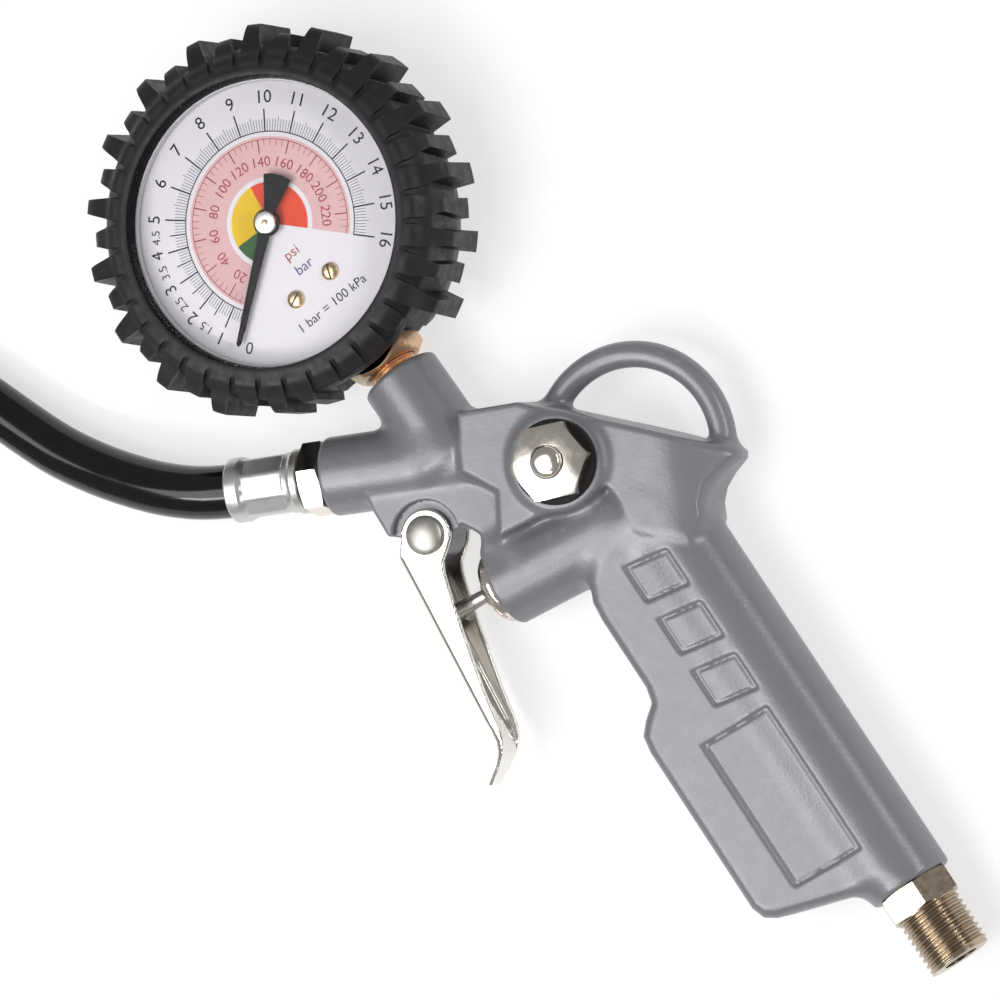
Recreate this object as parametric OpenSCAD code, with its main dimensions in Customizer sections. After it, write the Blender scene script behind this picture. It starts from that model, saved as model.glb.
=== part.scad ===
// Tyre inflator with gauge: a trigger gun with a rubber-booted dial gauge, a short air hose and a
// clip-on tyre chuck. It lies on its side with the gauge facing up (+Z) and the barrel along X.
// Shapes are worked out from the trigger pivot (X = Y = 0) and the gun's middle plane (Z = 0).
// The module at_rest() then moves them to the part's own frame, whose origin is at the base.

/* [Gun body] */
// Half thickness of the head of the casting
head_half = 9.5; // [9:0.25:10]
// Half thickness of the handle's flat blade
blade_half = 7.5; // [7:0.25:8]
// Outside diameter of the barrel
barrel_od = 16; // [15.5:0.25:17]
// Outside diameter of the handle's air tube
tube_od = 17; // [16.5:0.25:18]
// Length of the handle's air tube from the valve to its end
handle_len = 90; // [88:1:94]
// Direction of the handle, in degrees from the barrel
handle_angle = -62.5; // [-64:0.5:-61]
// Diameter of the hook's rod
hook_rod = 5.3; // [4.5:0.1:6]

/* [Gauge] */
// Direction from the gauge's centre down its socket, in degrees from the barrel
gauge_angle = -60.6; // [-62:0.2:-60]
// Distance of the gauge's centre from the end of its boss
gauge_reach = 37.9; // [36.5:0.1:39]
// Radius of the gauge's case
case_r = 31; // [30.5:0.25:31.5]
// Radius of the rubber boot across its long lugs
boot_r = 40; // [38.5:0.5:42]
// Number of long lugs, with a short lug between each two
lug_count = 18; // [14:1:20]
// Full turn of the pointer, in degrees
dial_sweep = 264; // [240:2:270]

/* [Trigger and valve] */
// Width of the trigger across its two sides
trigger_w = 11.6; // [11.2:0.1:12]
// Thickness of the trigger's sheet metal
sheet = 1.2; // [1:0.1:1.2]
// Direction of the valve, in degrees from the barrel
valve_angle = 19; // [18:0.5:20]

/* [Inlet and hose] */
// Radius of the inlet thread's crests
inlet_r = 6.58; // [6.4:0.02:6.6]
// Length of the inlet thread
inlet_len = 11.6; // [10:0.2:13]
// Outside diameter of the hose
hose_od = 11; // [10:0.5:11]
// Radius of the loop that the hose lies in
loop_r = 65; // [62:1:68]

/* [Hidden] */
$fn = 64;

eps = 0.01;
fit = 0.05;              // radial clearance between a part and the hole it sits in
gap = 0.3;               // clearance between pieces that move past each other

// Head of the casting
barrel_y = 14.5;
barrel_front = -20.7;
boss_r = 8.2;
tube_r = tube_od / 2;
valve_tube_r = 8.4;
head_x = 48;             // where the handle's air tube meets the valve tube, at Y = 0
lug_half = 6;
lug_inner = trigger_w / 2 - sheet - gap;
small_thread_r = 4.86;   // thread of the gauge socket and of the hose fitting
cap_x = 31.1;
cap_y = 10.5;
cap_boss_r = 10.5;
cap_boss_top = 11;

// Gauge
boss_end = [-3.6, 32.8];
gauge_xy = boss_end - gauge_reach * [cos(gauge_angle), sin(gauge_angle)];
case_top = 13.6;         // heights above the middle plane
dial_z = 13;
dial_end = -45;          // direction of the scale's end, in degrees
lens_low = 16;
lens_top = 18;
boot_top = 18.4;
tread_low = 0.5;         // the lugs' ends
tread_top = 14;
short_lug_r = boot_r - 2;
boot_turn = -2.5;        // turn of the lugs from the socket, in degrees

// Handle
blade_front = 21.5;
foot_front = 28.2;
supply_r = 4;

// Valve: distances are measured from the handle's air tube towards the trigger
valve_tube_end = 36.7;
valve_bore_r = 6;
web_angle = 22;          // lean of the trigger's web from square to the barrel
web_offset = 7.34;       // distance of the web's outer face from the pivot
stem_tip = (head_x * cos(web_angle) + web_offset - sheet) / cos(web_angle - valve_angle) - gap;

// Movement
pinion_teeth = 12;
sector_full_teeth = 120; // teeth that a full circle of the sector's pitch would hold
gear_module = 0.25;
pinion_pitch_r = pinion_teeth * gear_module / 2;
sector_pitch_r = sector_full_teeth * gear_module / 2;
sector_sweep = dial_sweep * pinion_teeth / sector_full_teeth;
sector_at = (pinion_pitch_r + sector_pitch_r) * [cos(-55), sin(-55)];
dial_screw_x = 4.6;
dial_screw_y = -15.8;
gear_z = 7.6;

// Hose and chuck. The route's points are in the working frame, with Z above the resting surface.
hose_r = hose_od / 2;
hose_start_x = barrel_front - 5 - 1;
ferrule_len = 16;
ferrule_r = 6.6;
hose_rest_z = hose_r + 0.1;
chuck_axis_z = 7.3;
loop_centre = [-176, 12];
loop_first = 62;         // directions in degrees, seen from the loop's centre
loop_last = 206;
free_route = [
    [hose_start_x, barrel_y, head_half], [-34, barrel_y, head_half], [-42, barrel_y, head_half],
    [-50, 15.1, 9.4], [-58, 16.9, 8.8], [-66, 19.8, 7.7], [-74, 23.5, 6.6], [-82, 28.2, 5.9],
    [-90, 34.4, hose_rest_z], [-98, 41.2, hose_rest_z], [-107, 48.2, hose_rest_z],
    [-118, 55, hose_rest_z], [-130, 61.9, hose_rest_z]
];
loop_route = [
    for (a = [loop_first:8:loop_last])
        [loop_centre.x + loop_r * cos(a), loop_centre.y + loop_r * sin(a), loop_z(a)]
];
function loop_z(a) =
    hose_rest_z + (chuck_axis_z - hose_rest_z) * min(1, max(0, (a - loop_last + 42) / 32));
chuck_heading = loop_last + 90;
chuck_run = 60;          // straight length of hose at the chuck
loop_end = loop_route[len(loop_route) - 1] + chuck_run * [cos(chuck_heading), sin(chuck_heading), 0];
hose_route = concat(free_route, loop_route, [loop_end]);

// Chuck, with distances along its own axis from the end of the hose's route
chuck_start = 2;         // outer end of the ferrule
chuck_mouth = 50;
chuck_r = 7;
nose_start = 36;
nose_thread_r = 5.8;
seal_pocket_r = 4.8;
seal_pocket = [37, 42];
valve_mouth_r = 4.2;
clip_pivot = [9.8, 30];  // height above the chuck's axis and distance along it

// Box of the gun without the hose, which sets the part's origin
inlet_hex_len = 5.4;
inlet_plug_r = 6;        // the adapter's thread inside the handle
thread_chamfer = 0.8;
handle_dir = [cos(handle_angle), sin(handle_angle)];
inlet_end = [head_x, 0] + (handle_len + inlet_hex_len + inlet_len) * handle_dir;
boot_reach = boot_r + 0.05;
box_low = [gauge_xy.x - boot_reach, inlet_end.y - (inlet_r - thread_chamfer) * handle_dir.x];
box_high = [inlet_end.x - inlet_r * handle_dir.y - thread_chamfer * handle_dir.x, gauge_xy.y + boot_reach];
base_centre = (box_low + box_high) / 2;

module at_rest() {
    translate([-base_centre.x, -base_centre.y, head_half]) children();
}

// Children point along +Z. They are laid along the barrel's axis from the point x, towards -X.
module along_barrel(x) {
    translate([x, barrel_y, 0]) rotate([0, -90, 0]) children();
}

// Children start on the handle's axis at distance u from the valve, and point to the inlet.
module along_handle(u) {
    translate([head_x, 0, 0]) rotate([0, 0, handle_angle]) translate([u, 0, 0])
        rotate([0, 90, 0]) children();
}

// Children start on the valve's axis at distance w from the handle's tube, and point to the trigger.
module along_valve(w) {
    translate([head_x, 0, 0]) rotate([0, 0, 180 + valve_angle]) translate([w, 0, 0])
        rotate([0, 90, 0]) children();
}

// The gauge's own frame: X to the dial's right and -Y down the socket.
module in_gauge() {
    translate([gauge_xy.x, gauge_xy.y, 0]) rotate([0, 0, gauge_angle + 90]) children();
}

// Children start at distance y down the socket's axis and point away from the gauge.
module down_socket(y) {
    in_gauge() translate([0, -y, 0]) rotate([90, 0, 0]) children();
}

// The chuck's own frame: +Z along its axis from the hose to the tyre valve, +X up.
module in_chuck() {
    translate([loop_end.x, loop_end.y, chuck_axis_z - head_half]) rotate([0, 0, chuck_heading])
        rotate([0, 90, 0]) rotate([0, 0, 180]) children();
}

module tube(outer_r, inner_r, length) {
    difference() {
        cylinder(r = outer_r, h = length);
        translate([0, 0, -1]) cylinder(r = inner_r, h = length + 2);
    }
}

module hexagon(across_flats, length) {
    cylinder(r = across_flats / sqrt(3), h = length, $fn = 6);
}

// A spring of round wire, standing on Z = 0.
module spring(coil_r, wire_r, height, turns) {
    sides = 8;
    steps = 14 * turns;
    rings = [
        for (i = [0:steps])
            let (a = 360 * turns * i / steps, z = wire_r + (height - 2 * wire_r) * i / steps)
            [for (j = [0:sides - 1]) let (b = 360 * j / sides, r = coil_r + wire_r * cos(b))
                [r * cos(a), r * sin(a), z + wire_r * sin(b)]]
    ];
    swept(rings, sides);
}

// One closed solid through a list of rings of points
module swept(rings, sides) {
    last = len(rings) - 1;
    points = [for (ring = rings) each ring];
    walls = [
        for (i = [0:last - 1], j = [0:sides - 1]) let (k = (j + 1) % sides) each [
            [(i + 1) * sides + k, i * sides + k, i * sides + j],
            [(i + 1) * sides + j, (i + 1) * sides + k, i * sides + j]
        ]
    ];
    first_end = [for (j = [0:sides - 1]) j];
    last_end = [for (j = [sides - 1:-1:0]) last * sides + j];
    polyhedron(points = points, faces = concat(walls, [first_end, last_end]));
}

function unit(v) = v / norm(v);

// ---------------------------------------------------------------- gun body

module head_shape() {
    polygon([
        [10.5, 23.4], [25, 23.6], [31, 21.2], [59.8, 11], [64.8, 9.6], [66.7, 8.1], [66.5, 6.6],
        [63.2, 4.2], [60.6, 1.6], [59.4, -1.2], [59.4, -4.4], [56, -8], [46, -4], [40, 5],
        [16.6, -2.6], [17.4, 6.6], [10.2, 11]
    ]);
}

module lug_shape() {
    polygon([
        [-13, barrel_y], [-11, 6.4], [-8, 0.4], [-5, 0], [5, 0], [8, 1], [11.5, -1.3], [12.4, -4],
        [18, -5], [18, barrel_y]
    ]);
}

// The blade, with X along the handle and Y towards the trigger
module blade_shape() {
    polygon([
        [-2, 0], [2, 16], [6, 20.2], [11, blade_front], [30, blade_front], [33, 23.4],
        [35, foot_front - 1], [38, foot_front], [78, foot_front], [80.4, foot_front - 2],
        [86.6, 7], [86.6, 0]
    ]);
}

module grip_marks() {
    square_size = 8.1;
    square_pitch = 12.3;
    skew = 2.3;
    for (i = [0:2]) {
        translate([7.4 + square_pitch * i, 0, 0]) linear_extrude(2)
            polygon([[0, 11.1], [square_size, 11.1], [square_size + skew, 1.6], [skew, 1.6]]);
    }
    linear_extrude(2) polygon([[45, 17.7], [78, 17.7], [79.4, 2.2], [46.4, 2.2]]);
}

module in_blade() {
    translate([head_x, 0, 0]) rotate([0, 0, handle_angle]) mirror([0, 1, 0]) children();
}

module trigger_recess(side) {
    scale([1, 1, side]) translate([0, 0, lug_inner]) {
        cylinder(r = 7, h = 10);
        translate([-7, -10, 0]) cube([13.9, 10, 10]);
    }
}

module gun_body() {
    mark_depth = 0.5;
    color([0.42, 0.43, 0.45]) difference() {
        union() {
            along_barrel(30) cylinder(d = barrel_od, h = 30 - barrel_front);
            down_socket(gauge_reach) cylinder(r = boss_r, h = 21);
            intersection() {
                translate([0, 0, -head_half]) linear_extrude(2 * head_half) head_shape();
                rotate([90, 0, 0]) translate([0, 0, -30]) linear_extrude(60) polygon([
                    [0, -head_half], [56, -head_half], [68, -3.5], [68, 3.5], [56, head_half], [0, head_half]
                ]);
            }
            translate([0, 0, -lug_half]) linear_extrude(2 * lug_half) lug_shape();
            translate([0, 0, -lug_inner]) cylinder(r = 5, h = 2 * lug_inner);
            along_valve(-2) cylinder(r = valve_tube_r, h = valve_tube_end + 2);
            along_handle(-3) cylinder(r = tube_r, h = handle_len + 3);
            in_blade() translate([0, 0, -blade_half]) linear_extrude(2 * blade_half) blade_shape();
            translate([cap_x, cap_y, 0]) cylinder(r = cap_boss_r, h = cap_boss_top);
            translate([44, 11.5, 0]) rotate([0, 0, -12]) rotate_extrude(angle = 162)
                translate([18.6, 0]) circle(d = hook_rod, $fn = 32);
        }
        along_barrel(32) cylinder(r = 3, h = 60);
        along_barrel(barrel_front + 11) cylinder(r = small_thread_r, h = 12);
        down_socket(gauge_reach - 1) cylinder(r = small_thread_r, h = 12.5);
        down_socket(gauge_reach) cylinder(r = 2, h = 20);
        along_handle(0) cylinder(r = supply_r, h = handle_len + 1);
        along_handle(handle_len - 10) cylinder(r = inlet_plug_r, h = 11);
        along_valve(0) cylinder(r = 3, h = 8);
        along_valve(5) cylinder(r = valve_bore_r, h = valve_tube_end);
        along_valve(30) cylinder(r = 6.6, h = 10);
        translate([23, -8.6, 0]) rotate([-90, 0, 0]) cylinder(r = 2, h = barrel_y + 8.6);
        translate([cap_x, cap_y, -6]) cylinder(r = 4.5, h = 20);
        translate([cap_x, cap_y, 4]) cylinder(r = 6, h = 10);
        translate([0, 0, -15]) cylinder(r = 2, h = 30);
        trigger_recess(1);
        trigger_recess(-1);
        in_blade() translate([0, 0, blade_half - mark_depth]) grip_marks();
        in_blade() mirror([0, 0, 1]) translate([0, 0, blade_half - mark_depth]) grip_marks();
    }
}

// ---------------------------------------------------------------- gauge

// A square block for a wrench, with its far corners turned off
module wrench_block(across, length) {
    corner_r = across / sqrt(2);
    intersection() {
        translate([-across / 2, -across / 2, 0]) cube([across, across, length]);
        union() {
            cylinder(r = corner_r + eps, h = length - 2.2);
            translate([0, 0, length - 2.2]) cylinder(r1 = corner_r + eps, r2 = across / 2 - 0.1, h = 2.2);
        }
    }
}

module gauge_socket() {
    block_low = 13.6;
    color([0.72, 0.5, 0.25]) difference() {
        union() {
            in_gauge() translate([-6, -29, -5]) cube([12, 29 - block_low, 10]);
            down_socket(28) cylinder(r = 5, h = 4);
            down_socket(31.5) wrench_block(12.8, 4.2);
            down_socket(35.5) cylinder(r = 4.2, h = gauge_reach - 35.4);
            down_socket(gauge_reach) cylinder(r = small_thread_r - fit, h = 10.5);
        }
        down_socket(24) cylinder(r = 1.5, h = 30);
        in_gauge() translate([-7, -24, 0]) rotate([0, 90, 0]) cylinder(r = 1, h = 7);
    }
}

module gauge_case() {
    wall = 0.8;
    color([0.15, 0.15, 0.16]) difference() {
        in_gauge() translate([0, 0, -head_half]) difference() {
            cylinder(r = case_r, h = head_half + case_top);
            translate([0, 0, wall]) cylinder(r = case_r - wall, h = head_half + 16);
        }
        down_socket(26) cylinder(r = 5 + fit, h = 8);
    }
}

module gauge_bezel() {
    ledge = case_top + 1;
    color([0.12, 0.12, 0.13]) in_gauge() rotate_extrude() polygon([
        [case_r - 2.2, case_top], [case_r + 1, case_top], [case_r + 1, lens_top - 0.7],
        [case_r - 0.6, lens_top - 0.7], [case_r - 0.6, ledge], [case_r - 2.2, ledge]
    ]);
}

module gauge_lens() {
    lens_r = case_r - 0.7;
    color([0.85, 0.9, 0.92, 0.35]) in_gauge() rotate_extrude() polygon([
        [0, lens_low], [lens_r - 2, lens_low], [lens_r - 2, case_top + 1 + fit],
        [lens_r, case_top + 1 + fit], [lens_r, lens_top - 1.2], [lens_r - 1.2, lens_top], [0, lens_top]
    ]);
}

// Every second lug of the boot's tread, left out beside the socket. Each is wider at its back end.
module lugs(reach_r, first_turn) {
    root_r = case_r + 3.4;
    pitch = 360 / lug_count;
    for (i = [0:lug_count - 1]) {
        turn = first_turn + pitch * i + boot_turn;
        if (turn > 22 && turn < 338)
            rotate([0, 0, turn - 90]) translate([root_r, 0, 0]) rotate([90, 0, 90])
                linear_extrude(reach_r - root_r)
                    polygon([[-2.2, tread_low], [2.2, tread_low], [1.4, tread_top], [-1.4, tread_top]]);
    }
}

module gauge_boot() {
    inner = case_r + fit;
    outer = case_r + 4.4;
    color([0.07, 0.07, 0.07]) difference() {
        in_gauge() union() {
            rotate_extrude() polygon([
                [inner, -head_half], [outer - 3.2, -head_half], [outer, tread_low], [outer, tread_top - 0.4],
                [outer - 2, boot_top - 1.4], [inner + 0.8, boot_top], [case_r - 1.6, boot_top],
                [case_r - 1.6, lens_top + fit],
                [inner + 1, lens_top + fit], [inner + 1, case_top - 0.1], [inner, case_top - 0.1]
            ]);
            lugs(boot_r, 180 / lug_count);
            lugs(short_lug_r, 0);
        }
        in_gauge() translate([-9, -50, -head_half - 1]) cube([18, 50 - case_r + 1.6, head_half + 10]);
    }
}

module dial_plate() {
    dial_t = 0.5;
    color([0.93, 0.93, 0.94]) in_gauge() translate([0, 0, dial_z - dial_t]) difference() {
        cylinder(r = case_r - 1.2, h = dial_t);
        translate([0, 0, -1]) cylinder(r = 1.2, h = 3);
        for (side = [-1, 1]) {
            translate([side * dial_screw_x, dial_screw_y, -1]) cylinder(r = 1, h = 3);
        }
    }
}

module dial_screws() {
    color([0.75, 0.68, 0.5]) in_gauge() for (side = [-1, 1]) {
        translate([side * dial_screw_x, dial_screw_y, 0]) difference() {
            union() {
                translate([0, 0, 7.5]) cylinder(r = 0.9, h = dial_z - 7.5 + eps);
                translate([0, 0, dial_z]) cylinder(r = 1.8, h = 0.9);
            }
            translate([-2, -0.25, dial_z + 0.5]) cube([4, 0.5, 1]);
        }
    }
}

// The pointer is drawn at zero, where the scale begins.
module pointer() {
    color([0.05, 0.05, 0.05]) in_gauge() rotate([0, 0, dial_end + dial_sweep]) translate([0, 0, 14.2]) difference() {
        union() {
            linear_extrude(0.5) polygon([[0, -1.2], [25, -0.45], [25.5, 0], [25, 0.45], [0, 1.2]]);
            cylinder(r = 2.8, h = 0.5);
            linear_extrude(0.5) polygon([[0, 1], [-9.4, 2.9], [-9.9, 0], [-9.4, -2.9], [0, -1]]);
        }
        translate([0, 0, -1]) cylinder(r = 1, h = 3);
    }
}

module pointer_hub() {
    color([0.62, 0.55, 0.45]) in_gauge() difference() {
        union() {
            translate([0, 0, 13.4]) cylinder(r = 1 - 0.02, h = 1.4);
            translate([0, 0, 14.7]) cylinder(r = 2.3, h = 0.9);
        }
        translate([0, 0, 13]) cylinder(r = 0.6, h = 1.9);
    }
}

// ---------------------------------------------------------------- gauge movement

// Outline of a toothed arc: teeth stand at each pitch from first to last, on a body from body_r.
module toothed_arc(pitch_r, teeth_in_circle, first, last) {
    step = 360 / teeth_in_circle;
    root = pitch_r - 1.25 * gear_module;
    tip = pitch_r + 0.8 * gear_module;
    root_half = 0.21 * step;
    tip_half = 0.09 * step;
    outline = [
        for (i = [first:last]) let (a = i * step) each [
            root * [cos(a - root_half), sin(a - root_half)], tip * [cos(a - tip_half), sin(a - tip_half)],
            tip * [cos(a + tip_half), sin(a + tip_half)], root * [cos(a + root_half), sin(a + root_half)]
        ]
    ];
    polygon(teeth_in_circle == last - first + 1 ? outline : concat([[0, 0]], outline));
}

// The sector's tooth at 125 degrees starts in mesh, so its teeth run back from there.
module sector_gear() {
    reach = ceil(sector_sweep / 3) + 1;
    color([0.76, 0.6, 0.3]) in_gauge() translate([sector_at.x, sector_at.y, gear_z]) difference() {
        union() {
            rotate([0, 0, 125]) linear_extrude(0.8)
                toothed_arc(sector_pitch_r, sector_full_teeth, -reach, 1);
            cylinder(r = 2, h = 0.8);
            rotate([0, 0, -10]) translate([0, -1, 0]) cube([7.5, 2, 0.8]);
        }
        translate([0, 0, -1]) cylinder(r = 0.65, h = 3);
        rotate([0, 0, 111]) translate([9.5, 0, -1]) cylinder(r = 1.4, h = 3);
    }
}

module tip_link() {
    start = sector_at + 6 * [cos(-10), sin(-10)];
    finish = [21.2, -4.2];
    span = finish - start;
    color([0.8, 0.7, 0.45]) in_gauge() translate([start.x, start.y, gear_z - 0.9])
        rotate([0, 0, atan2(span.y, span.x)]) difference() {
            union() {
                translate([0, -0.8, 0]) cube([norm(span), 1.6, 0.6]);
                cylinder(r = 1.2, h = 0.6);
                translate([0, 0, 0.3]) cylinder(r = 0.5, h = 0.6);
            }
            translate([norm(span), 0, -1]) cylinder(r = 0.6, h = 3);
        }
}

// The pinion's tooth gap faces the sector's middle tooth at rest.
module pinion_shaft() {
    half_tooth = 180 / pinion_teeth;
    color([0.7, 0.7, 0.7]) in_gauge() {
        translate([0, 0, 5.2]) cylinder(r = 0.58, h = 9.4);
        translate([0, 0, 7]) rotate([0, 0, -55 + half_tooth]) linear_extrude(2)
            toothed_arc(pinion_pitch_r, pinion_teeth, 0, pinion_teeth - 1);
    }
}

module hairspring() {
    turns = 3.5;
    steps = 24 * turns;
    thick = 0.12;
    inner_r = 0.75;
    pitch = 0.7;
    function spiral(i, side) =
        let (a = 360 * turns * i / steps, r = inner_r + pitch * turns * i / steps + side)
        r * [cos(a), sin(a)];
    color([0.8, 0.75, 0.5]) in_gauge() translate([0, 0, 9.3]) linear_extrude(0.7) polygon(concat(
        [for (i = [0:steps]) spiral(i, 0)], [for (i = [steps:-1:0]) spiral(i, thick)]
    ));
}

// The tube runs clockwise from the socket's left to its free tip on the dial's right.
module bourdon_tube() {
    mid_r = 21.5;
    color([0.78, 0.6, 0.28]) in_gauge() rotate([0, 0, -4]) {
        rotate_extrude(angle = 262) translate([mid_r, 0]) difference() {
            oval(1.3, 4.6);
            oval(0.8, 4.1);
        }
        translate([mid_r - 1.5, -2.6, -4.6]) cube([3, 2.7, 11]);
    }
}

module oval(half_w, half_h) {
    end_y = half_h - half_w;
    square([2 * half_w, 2 * end_y], center = true);
    translate([0, end_y]) circle(r = half_w, $fn = 24);
    translate([0, -end_y]) circle(r = half_w, $fn = 24);
}

module movement_base() {
    color([0.74, 0.6, 0.34]) in_gauge() difference() {
        union() {
            translate([0, 0, 5]) linear_extrude(1)
                polygon([[-8, -19], [13, -19], [15, -3], [9, 3], [-8, 8]]);
            for (side = [-1, 1]) {
                translate([side * dial_screw_x, dial_screw_y, 5.5]) cylinder(r = 1.9, h = 7);
            }
            translate([-5, 5, 5.5]) cylinder(r = 1.4, h = 4.8);
            translate([12.6, -4.4, 5.5]) cylinder(r = 1.2, h = 4.8);
            translate([sector_at.x, sector_at.y, 5.5]) cylinder(r = 0.6, h = 4.8);
        }
        translate([0, 0, 4]) cylinder(r = 0.62, h = 3);
        for (side = [-1, 1]) {
            translate([side * dial_screw_x, dial_screw_y, 7.4]) cylinder(r = 0.95, h = 6);
        }
    }
}

module movement_bridge() {
    color([0.74, 0.6, 0.34]) in_gauge() difference() {
        translate([0, 0, 10.3]) linear_extrude(1)
            polygon([[-7, 5], [-4, 7.5], [15, -3], [12.5, -16], [8, -16], [6, -5], [-4, 0]]);
        translate([0, 0, 9]) cylinder(r = 0.62, h = 4);
    }
}

// ---------------------------------------------------------------- trigger

// The trigger's side, from the pivot down to the curled toe
module trigger_side() {
    difference() {
        union() {
            circle(r = 5.3);
            polygon([
                [-5.3, 0], [-6.3, -4.6], [8.8, -41.6], [8.5, -45.4], [5.2, -50.9], [6, -51.1], [10.1, -45],
                [10.8, -41.4], [7.9, -30.5], [4.2, -14.6], [2.9, -7.5], [2.9, -5.6], [5.1, -1.4]
            ]);
        }
        circle(r = 2.05);
    }
}

module trigger_web() {
    polygon([
        [-6.3, -4.6], [8.8, -41.6], [8.5, -45.4], [5.2, -50.9], [6.2, -51.2], [9.8, -45.2],
        [10.1, -41.6], [-5.2, -4.1]
    ]);
}

module trigger_lever() {
    half = trigger_w / 2;
    color([0.82, 0.82, 0.84]) intersection() {
        union() {
            translate([0, 0, half - sheet]) linear_extrude(sheet) trigger_side();
            translate([0, 0, -half]) linear_extrude(sheet) trigger_side();
            translate([0, 0, -half]) linear_extrude(trigger_w) trigger_web();
        }
        rotate([90, 0, 90]) translate([0, 0, -20]) linear_extrude(50) polygon([
            [10, -half], [-36, -half], [-45, -half + 1.6], [-52, -1.2], [-52, 1.2], [-45, half - 1.6],
            [-36, half], [10, half]
        ]);
    }
}

module trigger_rivet() {
    head_z = trigger_w / 2 + fit;
    color([0.8, 0.8, 0.8]) rotate_extrude() polygon(concat(
        [[0, -head_z - 1.9]],
        [for (a = [10:10:80]) [4 * sin(a), -head_z - 0.4 - 1.5 * cos(a)]],
        [[4, -head_z - 0.4], [4, -head_z], [1.98, -head_z], [1.98, head_z], [4, head_z], [4, head_z + 0.4]],
        [for (a = [80:-10:10]) [4 * sin(a), head_z + 0.4 + 1.5 * cos(a)]],
        [[0, head_z + 1.9]]
    ));
}

// ---------------------------------------------------------------- air valve

module valve_gland() {
    color([0.72, 0.66, 0.52]) along_valve(30.1) difference() {
        union() {
            cylinder(r = 6.55, h = valve_tube_end - 30.1);
            translate([0, 0, valve_tube_end - 30.1]) rotate_extrude()
                polygon([[0, 0], [7.4, 0], [7.4, 1.1], [6.4, 2.3], [4, 3.2], [3, 4], [0, 4]]);
        }
        translate([0, 0, -1]) cylinder(r = 1.6, h = 14);
        translate([0, 0, -1]) cylinder(r = 3.2, h = 4);
    }
}

module stem_seal() {
    color([0.05, 0.05, 0.05]) along_valve(30.4) tube(3.15, 1.55, 2.2);
}

module valve_stem() {
    color([0.8, 0.78, 0.72]) along_valve(0) rotate_extrude() polygon([
        [0, 13.4], [4, 13.4], [4, 17.4], [1.9, 17.4], [1.9, 19.2], [1.5, 19.6], [1.5, stem_tip - 1],
        [1, stem_tip - 0.3], [0, stem_tip]
    ]);
}

module valve_disc() {
    color([0.06, 0.06, 0.06]) along_valve(17.45) tube(4, 1.95, 1.4);
}

module valve_seat() {
    color([0.72, 0.6, 0.3]) along_valve(18.9) tube(valve_bore_r - 0.02, 2.8, 4);
}

module valve_spring() {
    color([0.7, 0.7, 0.72]) along_valve(5.05) spring(3.4, 0.45, 8.3, 5);
}

// ---------------------------------------------------------------- bleed valve

module bleed_bonnet() {
    hex_top = 15.8;
    color([0.8, 0.78, 0.75]) translate([cap_x, cap_y, 0]) difference() {
        union() {
            translate([0, 0, 4.3]) cylinder(r = 6 - fit, h = 8);
            translate([0, 0, 12]) rotate([0, 0, 4.5]) intersection() {
                hexagon(14.4, hex_top - 12);
                rotate_extrude() polygon([[0, 0], [8.6, 0], [8.6, 2.9], [7.2, 3.8], [0, 3.8]]);
            }
        }
        translate([0, 0, 3]) cylinder(r = 1.9, h = 20);
        translate([0, 0, 12.6]) cylinder(r = 3.5, h = 5);
    }
}

module bleed_gasket() {
    color([0.05, 0.05, 0.05]) translate([cap_x, cap_y, cap_boss_top]) tube(8.5, 6, 1);
}

module bleed_button() {
    color([0.85, 0.84, 0.82]) translate([cap_x, cap_y, 0]) rotate_extrude() polygon([
        [0, 0], [2.6, 0], [2.6, 2], [1.5, 2], [1.5, 15], [3.3, 15], [3.3, 16], [2.9, 16.6], [1.8, 17.1],
        [0, 17.3]
    ]);
}

module bleed_disc() {
    color([0.06, 0.06, 0.06]) translate([cap_x, cap_y, 2.05]) tube(3.6, 1.55, 2.2);
}

module bleed_spring() {
    color([0.7, 0.7, 0.72]) translate([cap_x, cap_y, -5.95]) spring(2.6, 0.35, 5.9, 4);
}

// ---------------------------------------------------------------- inlet

module inlet_adapter() {
    thread_start = handle_len + inlet_hex_len;
    straight = inlet_len - thread_chamfer;
    color([0.78, 0.72, 0.6]) difference() {
        union() {
            along_handle(handle_len - 9.8) cylinder(r = inlet_plug_r - fit, h = 9.8 + inlet_hex_len);
            along_handle(handle_len) rotate([0, 0, 30]) hexagon(14, inlet_hex_len);
            along_handle(thread_start) cylinder(r = inlet_r, h = straight);
            along_handle(thread_start + straight)
                cylinder(r1 = inlet_r, r2 = inlet_r - thread_chamfer, h = thread_chamfer);
        }
        along_handle(handle_len - 12) cylinder(r = 3.6, h = 40);
    }
}

// ---------------------------------------------------------------- hose

module hose_fitting() {
    color([0.78, 0.74, 0.6]) difference() {
        union() {
            along_barrel(barrel_front + 10) cylinder(r = small_thread_r - fit, h = 10);
            along_barrel(barrel_front) hexagon(13.5, 5);
            along_barrel(barrel_front - 4) cylinder(r = 3, h = 17);
        }
        along_barrel(0) cylinder(r = 2, h = 50);
    }
}

// A sleeve with a bead at each end, pressed round the hose
module ferrule() {
    rotate_extrude() polygon([
        [hose_r + fit, 0], [ferrule_r, 0], [ferrule_r, 1.2], [ferrule_r - 0.4, 2],
        [ferrule_r - 0.4, ferrule_len - 3.4], [ferrule_r, ferrule_len - 2.6],
        [ferrule_r, ferrule_len], [hose_r + fit, ferrule_len]
    ]);
}

module crimp_ferrule() {
    color([0.83, 0.83, 0.82]) along_barrel(hose_start_x + 0.9) ferrule();
}

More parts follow.
